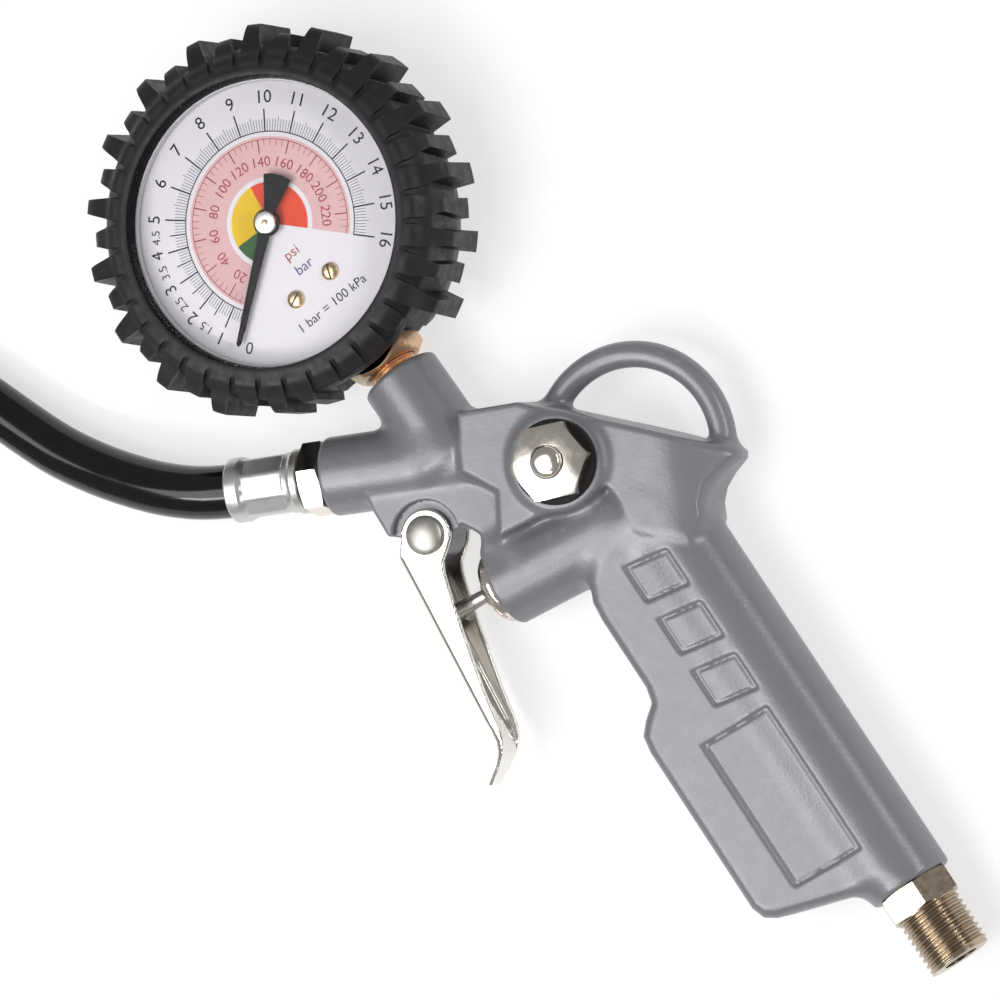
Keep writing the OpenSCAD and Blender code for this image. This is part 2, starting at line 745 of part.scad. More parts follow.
// A ring of the hose at point i, square to the route
function hose_ring(route, i, sides) =
    let (
        last = len(route) - 1,
        ahead = unit(route[min(last, i + 1)] - route[max(0, i - 1)]),
        side = unit(cross([0, 0, 1], ahead)),
        top = cross(ahead, side)
    )
    [
        for (j = [0:sides - 1])
            route[i] + hose_r * (side * cos(360 * j / sides) + top * sin(360 * j / sides))
    ];

module air_hose() {
    sides = 12;
    color([0.06, 0.06, 0.06]) translate([0, 0, -head_half])
        swept([for (i = [0:len(hose_route) - 1]) hose_ring(hose_route, i, sides)], sides);
}

// ---------------------------------------------------------------- chuck

module chuck_ferrule() {
    color([0.83, 0.83, 0.82]) in_chuck() translate([0, 0, -ferrule_len + chuck_start]) ferrule();
}

module chuck_body() {
    color([0.8, 0.78, 0.7]) in_chuck() difference() {
        union() {
            translate([0, 0, -10]) cylinder(r = 3, h = 16);
            translate([0, 0, chuck_start + 0.1]) rotate([0, 0, 30]) hexagon(13.5, 5);
            translate([0, 0, chuck_start + 5]) cylinder(r = chuck_r - 1, h = 10);
            translate([0, 0, 15]) cylinder(r = chuck_r, h = nose_start - 15);
            translate([0, 0, 30]) cylinder(r = nose_thread_r, h = seal_pocket.y - fit - 30);
            for (side = [-1, 1]) {
                translate([0, side * 4.1 - 1, clip_pivot.y - 4]) cube([clip_pivot.x, 2, 8]);
                translate([clip_pivot.x, side * 4.1 - 1, clip_pivot.y]) rotate([-90, 0, 0])
                    cylinder(r = 3, h = 2);
            }
        }
        translate([0, 0, -11]) cylinder(r = 1.7, h = 50);
        translate([0, 0, seal_pocket.x]) cylinder(r = seal_pocket_r, h = 10);
        translate([clip_pivot.x, -10, clip_pivot.y]) rotate([-90, 0, 0]) cylinder(r = 1.25, h = 20);
        translate([5.2, 0, 20]) rotate([0, 90, 0]) cylinder(r = 2.2, h = 5);
    }
}

// The nose screws on over the seal. The clip's hook reaches through its slot.
module chuck_nose() {
    color([0.8, 0.78, 0.7]) in_chuck() difference() {
        union() {
            translate([0, 0, nose_start + fit]) cylinder(r = chuck_r, h = chuck_mouth - 1 - nose_start - fit);
            translate([0, 0, chuck_mouth - 1]) cylinder(r1 = chuck_r, r2 = chuck_r - 1, h = 1);
        }
        translate([0, 0, nose_start - 1]) cylinder(r = nose_thread_r + fit, h = seal_pocket.y - nose_start + 1);
        translate([0, 0, nose_start]) cylinder(r = valve_mouth_r, h = 20);
        translate([3, -2.3, chuck_mouth - 7]) cube([10, 4.6, 4.4]);
    }
}

module chuck_seal() {
    color([0.05, 0.05, 0.05]) in_chuck() translate([0, 0, seal_pocket.x + fit])
        tube(seal_pocket_r - fit, 2.4, seal_pocket.y - seal_pocket.x - 3 * fit);
}

// The flats on the pin's foot leave room for the air.
module chuck_pin() {
    color([0.75, 0.65, 0.4]) in_chuck() {
        translate([0, 0, 32]) intersection() {
            cylinder(r = 1.65, h = 4);
            translate([-1.1, -2, -1]) cube([2.2, 4, 6]);
        }
        translate([0, 0, 35]) cylinder(r = 0.9, h = 6.6);
    }
}

module chuck_clip() {
    color([0.8, 0.8, 0.82]) in_chuck() difference() {
        rotate([90, 0, 0]) translate([0, 0, -2]) linear_extrude(4) polygon([
            [7.6, 29], [16.4, 7], [17.8, 7], [17.4, 10], [13.4, 22], [12.2, 32], [11, 46.3], [4.5, 46.3],
            [4.5, 44.8], [7.6, 44]
        ]);
        translate([clip_pivot.x, -10, clip_pivot.y]) rotate([-90, 0, 0]) cylinder(r = 1.25, h = 20);
    }
}

module clip_pivot_pin() {
    color([0.7, 0.7, 0.7]) in_chuck() translate([clip_pivot.x, -5.6, clip_pivot.y])
        rotate([-90, 0, 0]) cylinder(r = 1.2, h = 11.2);
}

module clip_spring() {
    color([0.7, 0.7, 0.72]) in_chuck() translate([5.25, 0, 20]) rotate([0, 90, 0]) spring(1.6, 0.3, 5.1, 5);
}

at_rest() gun_body();
at_rest() gauge_socket();
at_rest() gauge_case();
at_rest() gauge_bezel();
at_rest() gauge_lens();
at_rest() gauge_boot();
at_rest() dial_plate();
at_rest() dial_screws();
at_rest() pointer();
at_rest() pointer_hub();
at_rest() pinion_shaft();
at_rest() sector_gear();
at_rest() tip_link();
at_rest() hairspring();
at_rest() bourdon_tube();
at_rest() movement_base();
at_rest() movement_bridge();
at_rest() trigger_lever();
at_rest() trigger_rivet();
at_rest() valve_gland();
at_rest() valve_stem();
at_rest() stem_seal();
at_rest() valve_seat();
at_rest() valve_disc();
at_rest() valve_spring();
at_rest() bleed_bonnet();
at_rest() bleed_gasket();
at_rest() bleed_button();
at_rest() bleed_disc();
at_rest() bleed_spring();
at_rest() inlet_adapter();
at_rest() hose_fitting();
at_rest() crimp_ferrule();
at_rest() air_hose();
at_rest() chuck_ferrule();
at_rest() chuck_body();
at_rest() chuck_nose();
at_rest() chuck_seal();
at_rest() chuck_pin();
at_rest() chuck_clip();
at_rest() clip_pivot_pin();
at_rest() clip_spring();
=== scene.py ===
"""Looks of a tyre inflator with a booted dial gauge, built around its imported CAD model.

Shapes are worked out in millimetres in the gun's own frame, as in the CAD source: the origin is the
trigger's pivot on the middle plane, X runs along the barrel, and Z is the height above that plane.
"""
import math

import bpy
import numpy as np
from mathutils import Matrix, Vector


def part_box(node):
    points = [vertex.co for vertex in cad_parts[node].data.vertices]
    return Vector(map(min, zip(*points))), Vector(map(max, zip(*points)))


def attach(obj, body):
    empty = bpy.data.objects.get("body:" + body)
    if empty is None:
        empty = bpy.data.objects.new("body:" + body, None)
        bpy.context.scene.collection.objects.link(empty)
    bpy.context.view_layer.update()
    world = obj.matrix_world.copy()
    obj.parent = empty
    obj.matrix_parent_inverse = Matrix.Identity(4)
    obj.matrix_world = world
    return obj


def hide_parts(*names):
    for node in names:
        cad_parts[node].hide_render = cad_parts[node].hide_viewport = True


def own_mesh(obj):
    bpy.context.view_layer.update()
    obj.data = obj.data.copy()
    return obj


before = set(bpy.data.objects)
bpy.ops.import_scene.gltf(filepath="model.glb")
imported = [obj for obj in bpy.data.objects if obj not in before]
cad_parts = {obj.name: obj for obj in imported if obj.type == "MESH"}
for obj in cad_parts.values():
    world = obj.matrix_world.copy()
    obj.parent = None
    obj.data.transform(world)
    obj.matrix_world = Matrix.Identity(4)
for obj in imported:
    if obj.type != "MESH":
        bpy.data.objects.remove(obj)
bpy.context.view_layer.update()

MM = 0.001


def box_centre(node):
    low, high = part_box(node)
    return (Vector(low) + Vector(high)) / 2


# ---- the gun's frame

PIVOT = box_centre("trigger_rivet")
TO_ROW = Matrix.Translation(PIVOT) @ Matrix.Scale(MM, 4)
BARREL_Y = 14.5
BARREL_FRONT = -20.7
HEAD_X = 48.0
HANDLE_ANGLE = math.radians(-62.5)
VALVE_ANGLE = math.radians(19)
HANDLE_LENGTH = 90.0
GAUGE = TO_ROW.inverted() @ box_centre("gauge_case")
GAUGE_ANGLE = math.radians(-60.6)
MIDDLE_TO_FLOOR = 9.5
HOSE_R = 5.5


def turn(degrees, axis):
    return Matrix.Rotation(math.radians(degrees), 4, axis)


def shift(x, y, z=0.0):
    return Matrix.Translation((x, y, z))


def along_barrel(x):
    """Local +Z runs along the barrel towards the hose, from the point x."""
    return shift(x, BARREL_Y) @ turn(-90, "Y")


def along_handle(u):
    """Local +Z runs along the handle's air tube towards the inlet, from u."""
    return shift(HEAD_X, 0) @ Matrix.Rotation(HANDLE_ANGLE, 4, "Z") @ shift(u, 0) @ turn(90, "Y")


def along_valve(w):
    """Local +Z runs along the valve towards the trigger, from w."""
    return shift(HEAD_X, 0) @ Matrix.Rotation(math.pi + VALVE_ANGLE, 4, "Z") @ shift(w, 0) @ turn(90, "Y")


IN_GAUGE = shift(GAUGE.x, GAUGE.y) @ Matrix.Rotation(GAUGE_ANGLE + math.pi / 2, 4, "Z")


def down_socket(y):
    """Local +Z runs down the gauge's socket, from y below the dial's centre."""
    return IN_GAUGE @ shift(0, -y) @ turn(90, "X")


# ---- camera

def aim_camera():
    """The photo's camera looks from 21 degrees to the right and 1.1 m away, with the gun turned by 7.5
    degrees in the picture."""
    tilt = math.radians(21)
    towards = Vector((math.sin(tilt), 0, math.cos(tilt)))
    right = Vector((math.cos(tilt), 0, -math.sin(tilt)))
    up = Vector((0, 1, 0))
    place = 12.8 * right + 7.0 * up + 1100 * towards
    axes = Matrix((right, up, towards)).transposed().to_4x4()
    roll = turn(-7.5, "Z")
    data = bpy.data.cameras.new("camera")
    data.lens = 198
    data.sensor_width = 36
    data.clip_start = 0.05
    data.clip_end = 20
    camera = bpy.data.objects.new("camera", data)
    bpy.context.scene.collection.objects.link(camera)
    where = roll @ place
    camera.matrix_world = shift(*(PIVOT + where * MM)) @ roll @ axes
    bpy.context.scene.camera = camera


aim_camera()


# ---- materials

class Nodes:
    """A material's node tree, with short ways to add and join nodes."""

    def __init__(self, name):
        self.material = bpy.data.materials.new(name)
        self.material.use_nodes = True
        self.tree = self.material.node_tree
        self.shader = self.tree.nodes["Principled BSDF"]
        self.place = self.add("ShaderNodeTexCoord").outputs["Object"]

    def add(self, kind, **values):
        node = self.tree.nodes.new(kind)
        for key, value in values.items():
            setattr(node, key, value)
        return node

    def join(self, source, target):
        self.tree.links.new(source, target)

    def set(self, socket, value):
        self.shader.inputs[socket].default_value = value

    def noise(self, size_mm, detail=3.0):
        """Noise whose features are about size_mm across."""
        texture = self.add("ShaderNodeTexNoise")
        texture.inputs["Scale"].default_value = 1 / (size_mm * MM)
        texture.inputs["Detail"].default_value = detail
        self.join(self.place, texture.inputs["Vector"])
        return texture.outputs["Fac"]

    def spread(self, factor, low, high, start=0.3, end=0.7):
        """factor from start to end becomes a number from low to high."""
        node = self.add("ShaderNodeMapRange")
        for key, value in (("From Min", start), ("From Max", end), ("To Min", low), ("To Max", high)):
            node.inputs[key].default_value = value
        self.join(factor, node.inputs["Value"])
        return node.outputs["Result"]

    def mix(self, factor, first, second):
        """Colour from first to second. Each is a colour or a socket."""
        node = self.add("ShaderNodeMix", data_type="RGBA")
        self.join(factor, node.inputs["Factor"])
        colours = [s for s in node.inputs if s.type == "RGBA"]
        for socket, value in zip(colours, (first, second)):
            if hasattr(value, "links"):
                self.join(value, socket)
            else:
                socket.default_value = (*value, 1)
        return [s for s in node.outputs if s.type == "RGBA"][0]

    def bump(self, height, strength, distance_mm):
        node = self.add("ShaderNodeBump")
        node.inputs["Strength"].default_value = strength
        node.inputs["Distance"].default_value = distance_mm * MM
        self.join(height, node.inputs["Height"])
        return node.outputs["Normal"]


def shade(colour, factor):
    return tuple(min(1.0, c * factor) for c in colour)


def finish(name, colour, roughness, metallic, patch, grain, rough_spread=0.08, edge=None, coat=0.0,
           specular=0.5):
    """A surface with patches of colour, uneven gloss, fine grain and, with edge, lighter edges that are
    partly wear and partly a painted edge highlight.

    patch is the patches' size in mm and depth, and grain the grain's size in mm, strength and height
    in mm. edge is the colour of the lighter edges, partly wear and partly painted highlight, and how far it
    shows.
    """
    n = Nodes(name)
    darker, lighter = shade(colour, 1 - patch[1]), shade(colour, 1 + patch[1])
    shown = n.mix(n.spread(n.noise(patch[0], 4.0), 0, 1), darker, lighter)
    if edge is not None:
        # Pointiness lightens sharp edges: partly wear, partly a painted edge highlight.
        geometry = n.add("ShaderNodeNewGeometry")
        worn_and_highlit = n.spread(geometry.outputs["Pointiness"], 0, edge[1], 0.53, 0.6)
        shown = n.mix(worn_and_highlit, shown, edge[0])
    n.join(shown, n.shader.inputs["Base Color"])
    gloss = n.spread(n.noise(patch[0] * 0.4), roughness - rough_spread, roughness + rough_spread)
    n.join(gloss, n.shader.inputs["Roughness"])
    n.join(n.bump(n.noise(grain[0], 2.0), grain[1], grain[2]), n.shader.inputs["Normal"])
    n.set("Metallic", metallic)
    n.set("Coat Weight", coat)
    n.set("Specular IOR Level", specular)
    return n.material


def ink_material(name, colour, patch):
    return finish(name, colour, 0.6, 0, patch, (0.2, 0.05, 0.002), specular=0.1)


def clear_material():
    """The window: clear to see and light through, with a sharp gloss."""
    n = Nodes("window_clear")
    n.join(n.spread(n.noise(9), 0.02, 0.05), n.shader.inputs["Roughness"])
    n.set("Base Color", (0.2, 0.21, 0.22, 1))
    n.set("Alpha", 0.03)
    n.set("Specular IOR Level", 1.0)
    n.set("Coat Weight", 1.0)
    n.set("Coat Roughness", 0.02)
    return n.material


MAT = {
    # The cast body's lighter edges are partly wear and partly a painted edge highlight.
    "cast": finish(
        "cast_grey_paint", (0.22, 0.225, 0.238), 0.34, 0.25, (6, 0.025), (0.7, 0.6, 0.06), 0.025,
        edge=((0.36, 0.365, 0.38), 0.25)
    ),
    # The boot's lighter edges are partly wear and partly a painted edge highlight.
    "boot": finish(
        "boot_rubber", (0.011, 0.011, 0.012), 0.48, 0, (5, 0.25), (0.4, 0.35, 0.03), 0.1,
        edge=((0.04, 0.04, 0.042), 0.5), specular=0.35
    ),
    "hose": finish(
        "hose_rubber", (0.004, 0.004, 0.0045), 0.13, 0, (12, 0.2), (2.5, 0.1, 0.02), 0.03, specular=0.4
    ),
    "seal": finish("seal_rubber", (0.01, 0.01, 0.01), 0.45, 0, (2, 0.2), (0.3, 0.2, 0.02)),
    "gasket": finish("gasket_rubber", (0.004, 0.004, 0.004), 0.75, 0, (2, 0.2), (0.3, 0.1, 0.02)),
    "window": clear_material(),
    "bezel": finish("bezel_black", (0.012, 0.012, 0.013), 0.3, 0, (4, 0.15), (0.5, 0.1, 0.01)),
    "rim": finish(
        "window_rim", (0.5, 0.5, 0.51), 0.12, 0, (5, 0.06), (0.8, 0.05, 0.01), 0.04, coat=0.6
    ),
    "dial": finish(
        "dial_white", (0.86, 0.83, 0.88), 0.5, 0, (10, 0.015), (0.4, 0.05, 0.005), 0.04, specular=0.2
    ),
    "ink": ink_material("dial_ink_black", (0.02, 0.02, 0.025), (1, 0.3)),
    "grey_ink": ink_material("dial_ink_grey", (0.3, 0.3, 0.34), (1, 0.1)),
    "red_ink": ink_material("dial_ink_red", (0.42, 0.07, 0.08), (1, 0.15)),
    "blue_ink": ink_material("dial_ink_blue", (0.1, 0.11, 0.28), (1, 0.15)),
    "pink": ink_material("dial_band_pink", (0.8, 0.5, 0.51), (3, 0.04)),
    "green": ink_material("dial_fan_green", (0.04, 0.13, 0.04), (2, 0.06)),
    "yellow": ink_material("dial_fan_yellow", (0.85, 0.56, 0.02), (2, 0.06)),
    "red": ink_material("dial_fan_red", (0.85, 0.08, 0.035), (2, 0.06)),
    "pointer": finish(
        "pointer_black", (0.005, 0.005, 0.005), 0.6, 0, (2, 0.2), (0.3, 0.1, 0.01), specular=0.12
    ),
    "case": finish("case_black", (0.02, 0.02, 0.021), 0.4, 0.3, (8, 0.2), (0.6, 0.25, 0.03)),
    "copper": finish(
        "socket_copper_brass", (0.86, 0.56, 0.34), 0.38, 0.9, (2, 0.1), (0.6, 0.06, 0.02), 0.05
    ),
    # A paler copy of the socket's copper brass: a painted highlight for the key light that the wrench
    # block's face catches.
    "pale_brass": finish(
        "socket_painted_highlight_brass", (0.98, 0.82, 0.62), 0.42, 0.5, (2, 0.1), (0.6, 0.05, 0.02)
    ),
    "brass": finish("brass_machined", (0.74, 0.55, 0.32), 0.28, 1, (3, 0.1), (0.4, 0.15, 0.02)),
    "nickel": finish("nickel_plate", (0.76, 0.71, 0.64), 0.17, 1, (4, 0.05), (0.9, 0.1, 0.02), 0.05),
    "inlet": finish("inlet_plate", (0.42, 0.345, 0.26), 0.24, 1, (3, 0.1), (0.6, 0.05, 0.02), 0.05),
    "ferrule": finish(
        "ferrule_bright", (0.6, 0.6, 0.59), 0.38, 0.9, (4, 0.05), (0.9, 0.08, 0.02), 0.05
    ),
    "trigger": finish(
        "trigger_bright_plate", (0.8, 0.78, 0.74), 0.12, 1, (9, 0.04), (2.5, 0.08, 0.03), 0.04
    ),
    "rivet": finish("rivet_satin", (0.5, 0.49, 0.45), 0.42, 1, (3, 0.06), (0.3, 0.15, 0.015), 0.06),
    "steel": finish("steel_bright", (0.62, 0.61, 0.6), 0.28, 1, (3, 0.08), (0.3, 0.15, 0.015)),
}


# ---- mesh helpers

def make_piece(name, points, faces, material, place=None, body="gun", slot=None, nodes=(), bevel=0.0,
               sharp_above=35.0, smooth=True):
    """A mesh from points in mm. place puts them in the gun's frame. Edges above the angle stay sharp."""
    mesh = bpy.data.meshes.new(name)
    mesh.from_pydata([tuple(map(float, p)) for p in points], [], [tuple(map(int, f)) for f in faces])
    mesh.transform(TO_ROW @ (place or Matrix.Identity(4)))
    mesh.validate()
    mesh.materials.append(MAT[material])
    mesh.polygons.foreach_set("use_smooth", [smooth] * len(mesh.polygons))
    piece = bpy.data.objects.new(name, mesh)
    bpy.context.scene.collection.objects.link(piece)
    if bevel:
        modifier = piece.modifiers.new("bevel", "BEVEL")
        modifier.width = bevel * MM
        modifier.segments = 2
        modifier.limit_method = "ANGLE"
        modifier.angle_limit = math.radians(sharp_above)
    elif smooth:
        mesh.set_sharp_from_angle(angle=math.radians(sharp_above))
    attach(piece, body)
    if nodes:
        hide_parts(*nodes)
    return piece


def rings_to_mesh(rings, closed=False):
    """Joins rings of points, each a closed loop of the same count. closed also joins last to first."""
    rings = np.asarray(rings, float)
    count, sides = rings.shape[:2]
    i, j = np.meshgrid(np.arange(count if closed else count - 1), np.arange(sides), indexing="ij")
    k, m = (i + 1) % count, (j + 1) % sides
    faces = np.stack([i * sides + j, i * sides + m, k * sides + m, k * sides + j], -1)
    faces = faces.reshape(-1, 4).tolist()
    if not closed:
        faces.append(list(range(sides))[::-1])
        faces.append(list(range((count - 1) * sides, count * sides)))
    return rings.reshape(-1, 3), faces


def around(radius, height, sides):
    """A ring round Z. radius and height are numbers, or have one for each side."""
    a = np.arange(sides) * 2 * math.pi / sides
    return np.stack([radius * np.cos(a), radius * np.sin(a), height + 0 * a], -1)


def from_flat(sides, flats):
    """For each point of a ring, its angle from the middle of the nearest of the flats."""
    a = np.arange(sides) * 2 * math.pi / sides
    return (a + math.pi / flats) % (2 * math.pi / flats) - math.pi / flats


def turned(profile, sides=72, closed=False):
    """A turned shape through (radius, height) points, from bottom to top. closed makes a ring of it."""
    return rings_to_mesh([around(max(r, 1e-4), z, sides) for r, z in profile], closed)


FLAT_SIDES = 96


def hexagon(across, low, high, bore, chamfer_low=True, crown=0.0):
    """A hexagonal nut with turned chamfers. Its upper face rises by crown towards the bore."""
    outer = across / 2 / np.cos(from_flat(FLAT_SIDES, 6))
    face = across / 2 * 0.985
    drop = (outer - face) * math.tan(math.radians(17))
    rings = [
        (bore, low), (face if chamfer_low else outer, low), (outer, low + (drop if chamfer_low else 0)),
        (outer, high - crown - drop), (face, high - crown), (bore, high)
    ]
    return rings_to_mesh([around(r, z, FLAT_SIDES) for r, z in rings], closed=True)


def thread(crest, depth, pitch, length, bore, run_in=1.0, run_out=1.0, sides=72, rows_per_turn=16):
    """A tube with a helical thread along +Z, fading in and out at its ends."""
    rows = int(length / pitch * rows_per_turn)
    turns = np.arange(sides) / sides
    rings = [around(bore, 0, sides)]
    for i in range(rows + 1):
        z = length * i / rows
        wave = np.abs(((z / pitch - turns) % 1) * 2 - 1)
        groove = np.clip((wave - 0.12) / 0.76, 0, 1)
        fade = min(1, max(0.0, z / run_in), max(0.0, (length - z) / run_out))
        lead = max(0.0, 1 - (length - z) / (0.6 * run_out))
        rings.append(around(crest - depth * groove * fade - depth * lead * (1 - groove), z, sides))
    rings.append(around(bore, length, sides))
    return rings_to_mesh(rings, closed=True)


def merged(*parts):
    """Several (points, faces) as one."""
    points, faces, count = [], [], 0
    for p, f in parts:
        points.extend(map(tuple, p))
        faces.extend([[i + count for i in face] for face in f])
        count += len(p)
    return points, faces


def moved(part, matrix):
    points, faces = part
    return [tuple(matrix @ Vector(p)) for p in points], faces


def spline(points, step=2.0):
    """A smooth line through points, as a Catmull-Rom curve with a point about every step mm."""
    p = np.asarray(points, float)
    p = np.vstack([2 * p[0] - p[1], p, 2 * p[-1] - p[-2]])
    out = []
    for a, b, c, d in zip(p, p[1:], p[2:], p[3:]):
        count = max(1, int(round(np.linalg.norm(c - b) / step)))
        for i in range(count):
            t = i / count
            out.append(0.5 * (2 * b + (c - a) * t + (2 * a - 5 * b + 4 * c - d) * t ** 2
                              + (3 * b - a - 3 * c + d) * t ** 3))
    out.append(p[-2])
    return np.array(out)


# ---- shapes as distance fields

def smooth_union(a, b, k):
    """a and b together, with a fillet of about k where they meet."""
    h = np.maximum(k - np.abs(a - b), 0) / k
    return np.minimum(a, b) - h * h * k / 4


def cut(a, b, k=0.1):
    """a without b, with the edge eased by k."""
    return -smooth_union(-a, b, k)


def both(a, b, k=0.1):
    """What lies in a and in b, with the edge eased by k."""
    return -smooth_union(-a, -b, k)


def outline_distance(x, y, corners):
    """Distance to a closed outline, negative inside."""
    best = np.full(np.broadcast(x, y).shape, 1e9)
    inside = np.zeros(best.shape, bool)
    for (ax, ay), (bx, by) in zip(corners, corners[1:] + corners[:1]):
        ex, ey = bx - ax, by - ay
        wx, wy = x - ax, y - ay
        t = np.clip((wx * ex + wy * ey) / (ex * ex + ey * ey), 0, 1)
        best = np.minimum(best, (wx - ex * t) ** 2 + (wy - ey * t) ** 2)
        crosses = (ay > y) != (by > y)
        with np.errstate(divide="ignore", invalid="ignore"):
            left = x < ax + ex * (y - ay) / (ey if ey else 1e-12)
        inside ^= crosses & left
    return np.where(inside, -1, 1) * np.sqrt(best)


def line_distance(x, y, points):
    """Distance to an open line of points."""
    best = np.full(np.broadcast(x, y).shape, 1e9)
    for (ax, ay), (bx, by) in zip(points, points[1:]):
        ex, ey = bx - ax, by - ay
        t = np.clip(((x - ax) * ex + (y - ay) * ey) / (ex * ex + ey * ey), 0, 1)
        best = np.minimum(best, (x - ax - ex * t) ** 2 + (y - ay - ey * t) ** 2)
    return np.sqrt(best)


def slab(flat, z, half, r):
    """A flat shape's distance made into a plate from -half to half, with edges rounded by r."""
    a = flat + r
    b = np.abs(z) - half + r
    return np.minimum(np.maximum(a, b), 0) + np.sqrt(np.maximum(a, 0) ** 2 + np.maximum(b, 0) ** 2) - r


def rod(x, y, z, start, angle, length, radius, r=0.5):
    """A cylinder in the middle plane from start, in the direction angle."""
    c, s = math.cos(angle), math.sin(angle)
    along = (x - start[0]) * c + (y - start[1]) * s
    across = (x - start[0]) * -s + (y - start[1]) * c
    return slab(np.sqrt(across ** 2 + z ** 2) - radius, along - length / 2, length / 2, r)


def post(x, y, z, centre, radius, low, high, r=0.3):
    """A cylinder along Z."""
    flat = np.sqrt((x - centre[0]) ** 2 + (y - centre[1]) ** 2) - radius
    return slab(flat, z - (low + high) / 2, (high - low) / 2, r)


def surface_of(distance, low, high, step):
    """Closed mesh of the zero surface of distance(x, y, z) between two corners, by surface nets."""
    axes = [np.arange(low[i], high[i] + step, step) for i in range(3)]
    x, y, z = axes[0][:, None, None], axes[1][None, :, None], axes[2][None, None, :]
    f = np.ascontiguousarray(np.broadcast_to(distance(x, y, z), tuple(map(len, axes))), np.float64)
    inside = f < 0
    cells = tuple(n - 1 for n in f.shape)
    corners = [(a, b, c) for a in (0, 1) for b in (0, 1) for c in (0, 1)]
    count = sum(inside[a:a + cells[0], b:b + cells[1], c:c + cells[2]].astype(np.int8)
                for a, b, c in corners)
    where = np.argwhere((count > 0) & (count < 8))
    total = np.zeros((len(where), 3))
    crossings = np.zeros(len(where))
    for axis in range(3):
        for corner in corners:
            if corner[axis]:
                continue
            other = list(corner)
            other[axis] = 1
            fa = f[tuple((where + corner).T)]
            fb = f[tuple((where + other).T)]
            hit = (fa < 0) != (fb < 0)
            t = np.where(hit, fa / np.where(hit, fa - fb, 1), 0)
            p = np.array(corner, float)[None, :].repeat(len(where), 0)
            p[:, axis] = t
            total[hit] += p[hit]
            crossings += hit
    points = (where + total / crossings[:, None]) * step + np.array([a[0] for a in axes])
    index = np.full(cells, -1)
    index[tuple(where.T)] = np.arange(len(where))
    faces = []
    for axis in range(3):
        b, c = (axis + 1) % 3, (axis + 2) % 3
        here = np.moveaxis(inside, (axis, b, c), (0, 1, 2))
        grid = np.moveaxis(index, (axis, b, c), (0, 1, 2))
        changes = here[:-1] != here[1:]
        i, j, k = np.argwhere(changes[:, 1:-1, 1:-1]).T
        j, k = j + 1, k + 1
        quad = np.stack([grid[i, j - 1, k - 1], grid[i, j, k - 1], grid[i, j, k], grid[i, j - 1, k]], -1)
        flip = ~here[i, j, k]
        quad[flip] = quad[flip][:, ::-1]
        faces.append(quad)
    faces = np.vstack(faces)
    nudge = step * 0.05
    for _ in range(3):
        value, slope = field_at(distance, points, nudge)
        size = np.maximum((slope ** 2).sum(1), 0.05)
        move = np.clip(value / size, -step * 0.4, step * 0.4)
        points = points - slope * move[:, None]
    return points, faces


def field_at(distance, points, nudge):
    """The distance and its slope at points."""
    x, y, z = points.T
    slope = np.stack([
        distance(x + nudge, y, z) - distance(x - nudge, y, z),
        distance(x, y + nudge, z) - distance(x, y - nudge, z),
        distance(x, y, z + nudge) - distance(x, y, z - nudge),
    ], -1) / (2 * nudge)
    return distance(x, y, z), slope


# ---- hose

LOOP_CENTRE = (-176.0, 12.0)
LOOP_R = 65.0
LOOP_LAST = 206
HOSE_RUN = 60.0
HOSE_START = BARREL_FRONT - 6
HOSE_REST = HOSE_R + 0.1
CHUCK_AXIS = 7.3  # height above the floor


def loop_point(degrees):
    """A point on the loop. Its last part rises from the floor to the chuck's axis."""
    a = math.radians(degrees)
    rise = min(1, max(0, (degrees - LOOP_LAST + 42) / 32))
    height = HOSE_REST + (CHUCK_AXIS - HOSE_REST) * rise
    return (LOOP_CENTRE[0] + LOOP_R * math.cos(a), LOOP_CENTRE[1] + LOOP_R * math.sin(a), height)


# The hose's line from the barrel: X, Y and the height above the floor
ROUTE = [
    (HOSE_START, BARREL_Y, 9.5), (-34, BARREL_Y, 9.5), (-42, BARREL_Y, 9.5), (-50, 15.1, 9.4),
    (-58, 16.9, 8.8), (-66, 19.8, 7.7), (-74, 23.5, 6.6), (-82, 28.2, 5.9), (-90, 34.4, HOSE_REST),
    (-98, 41.2, HOSE_REST), (-107, 48.2, HOSE_REST), (-118, 55, HOSE_REST), (-130, 61.9, HOSE_REST),
] + [loop_point(d) for d in range(62, LOOP_LAST + 1, 8)]
HEADING = math.radians(LOOP_LAST + 90)
for part_run in (20, 40, HOSE_RUN):
    x, y, z = loop_point(LOOP_LAST)
    ROUTE.append((x + part_run * math.cos(HEADING), y + part_run * math.sin(HEADING), z))


def make_hose():
    line = spline([(x, y, z - MIDDLE_TO_FLOOR) for x, y, z in ROUTE], 2.5)
    length = np.linalg.norm(np.diff(line, axis=0), axis=1).sum()
    data = bpy.data.curves.new("hose", "CURVE")
    data.dimensions = "3D"
    data.bevel_depth = HOSE_R * MM
    data.bevel_resolution = 8
    data.use_fill_caps = True
    path = data.splines.new("POLY")
    path.points.add(len(line) - 1)
    for point, p in zip(path.points, line):
        point.co = (*(TO_ROW @ Vector(p)), 1)
    hose = bpy.data.objects.new("hose", data)
    bpy.context.scene.collection.objects.link(hose)
    data.materials.append(MAT["hose"])
    path.use_smooth = True
    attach(hose, "gun")
    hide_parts("air_hose")
    start = TO_ROW @ Vector((BARREL_FRONT - 21, BARREL_Y, 0))
    return hose, tuple(start), length * MM


hose, hose_exit, hose_length = make_hose()


# ---- cast body

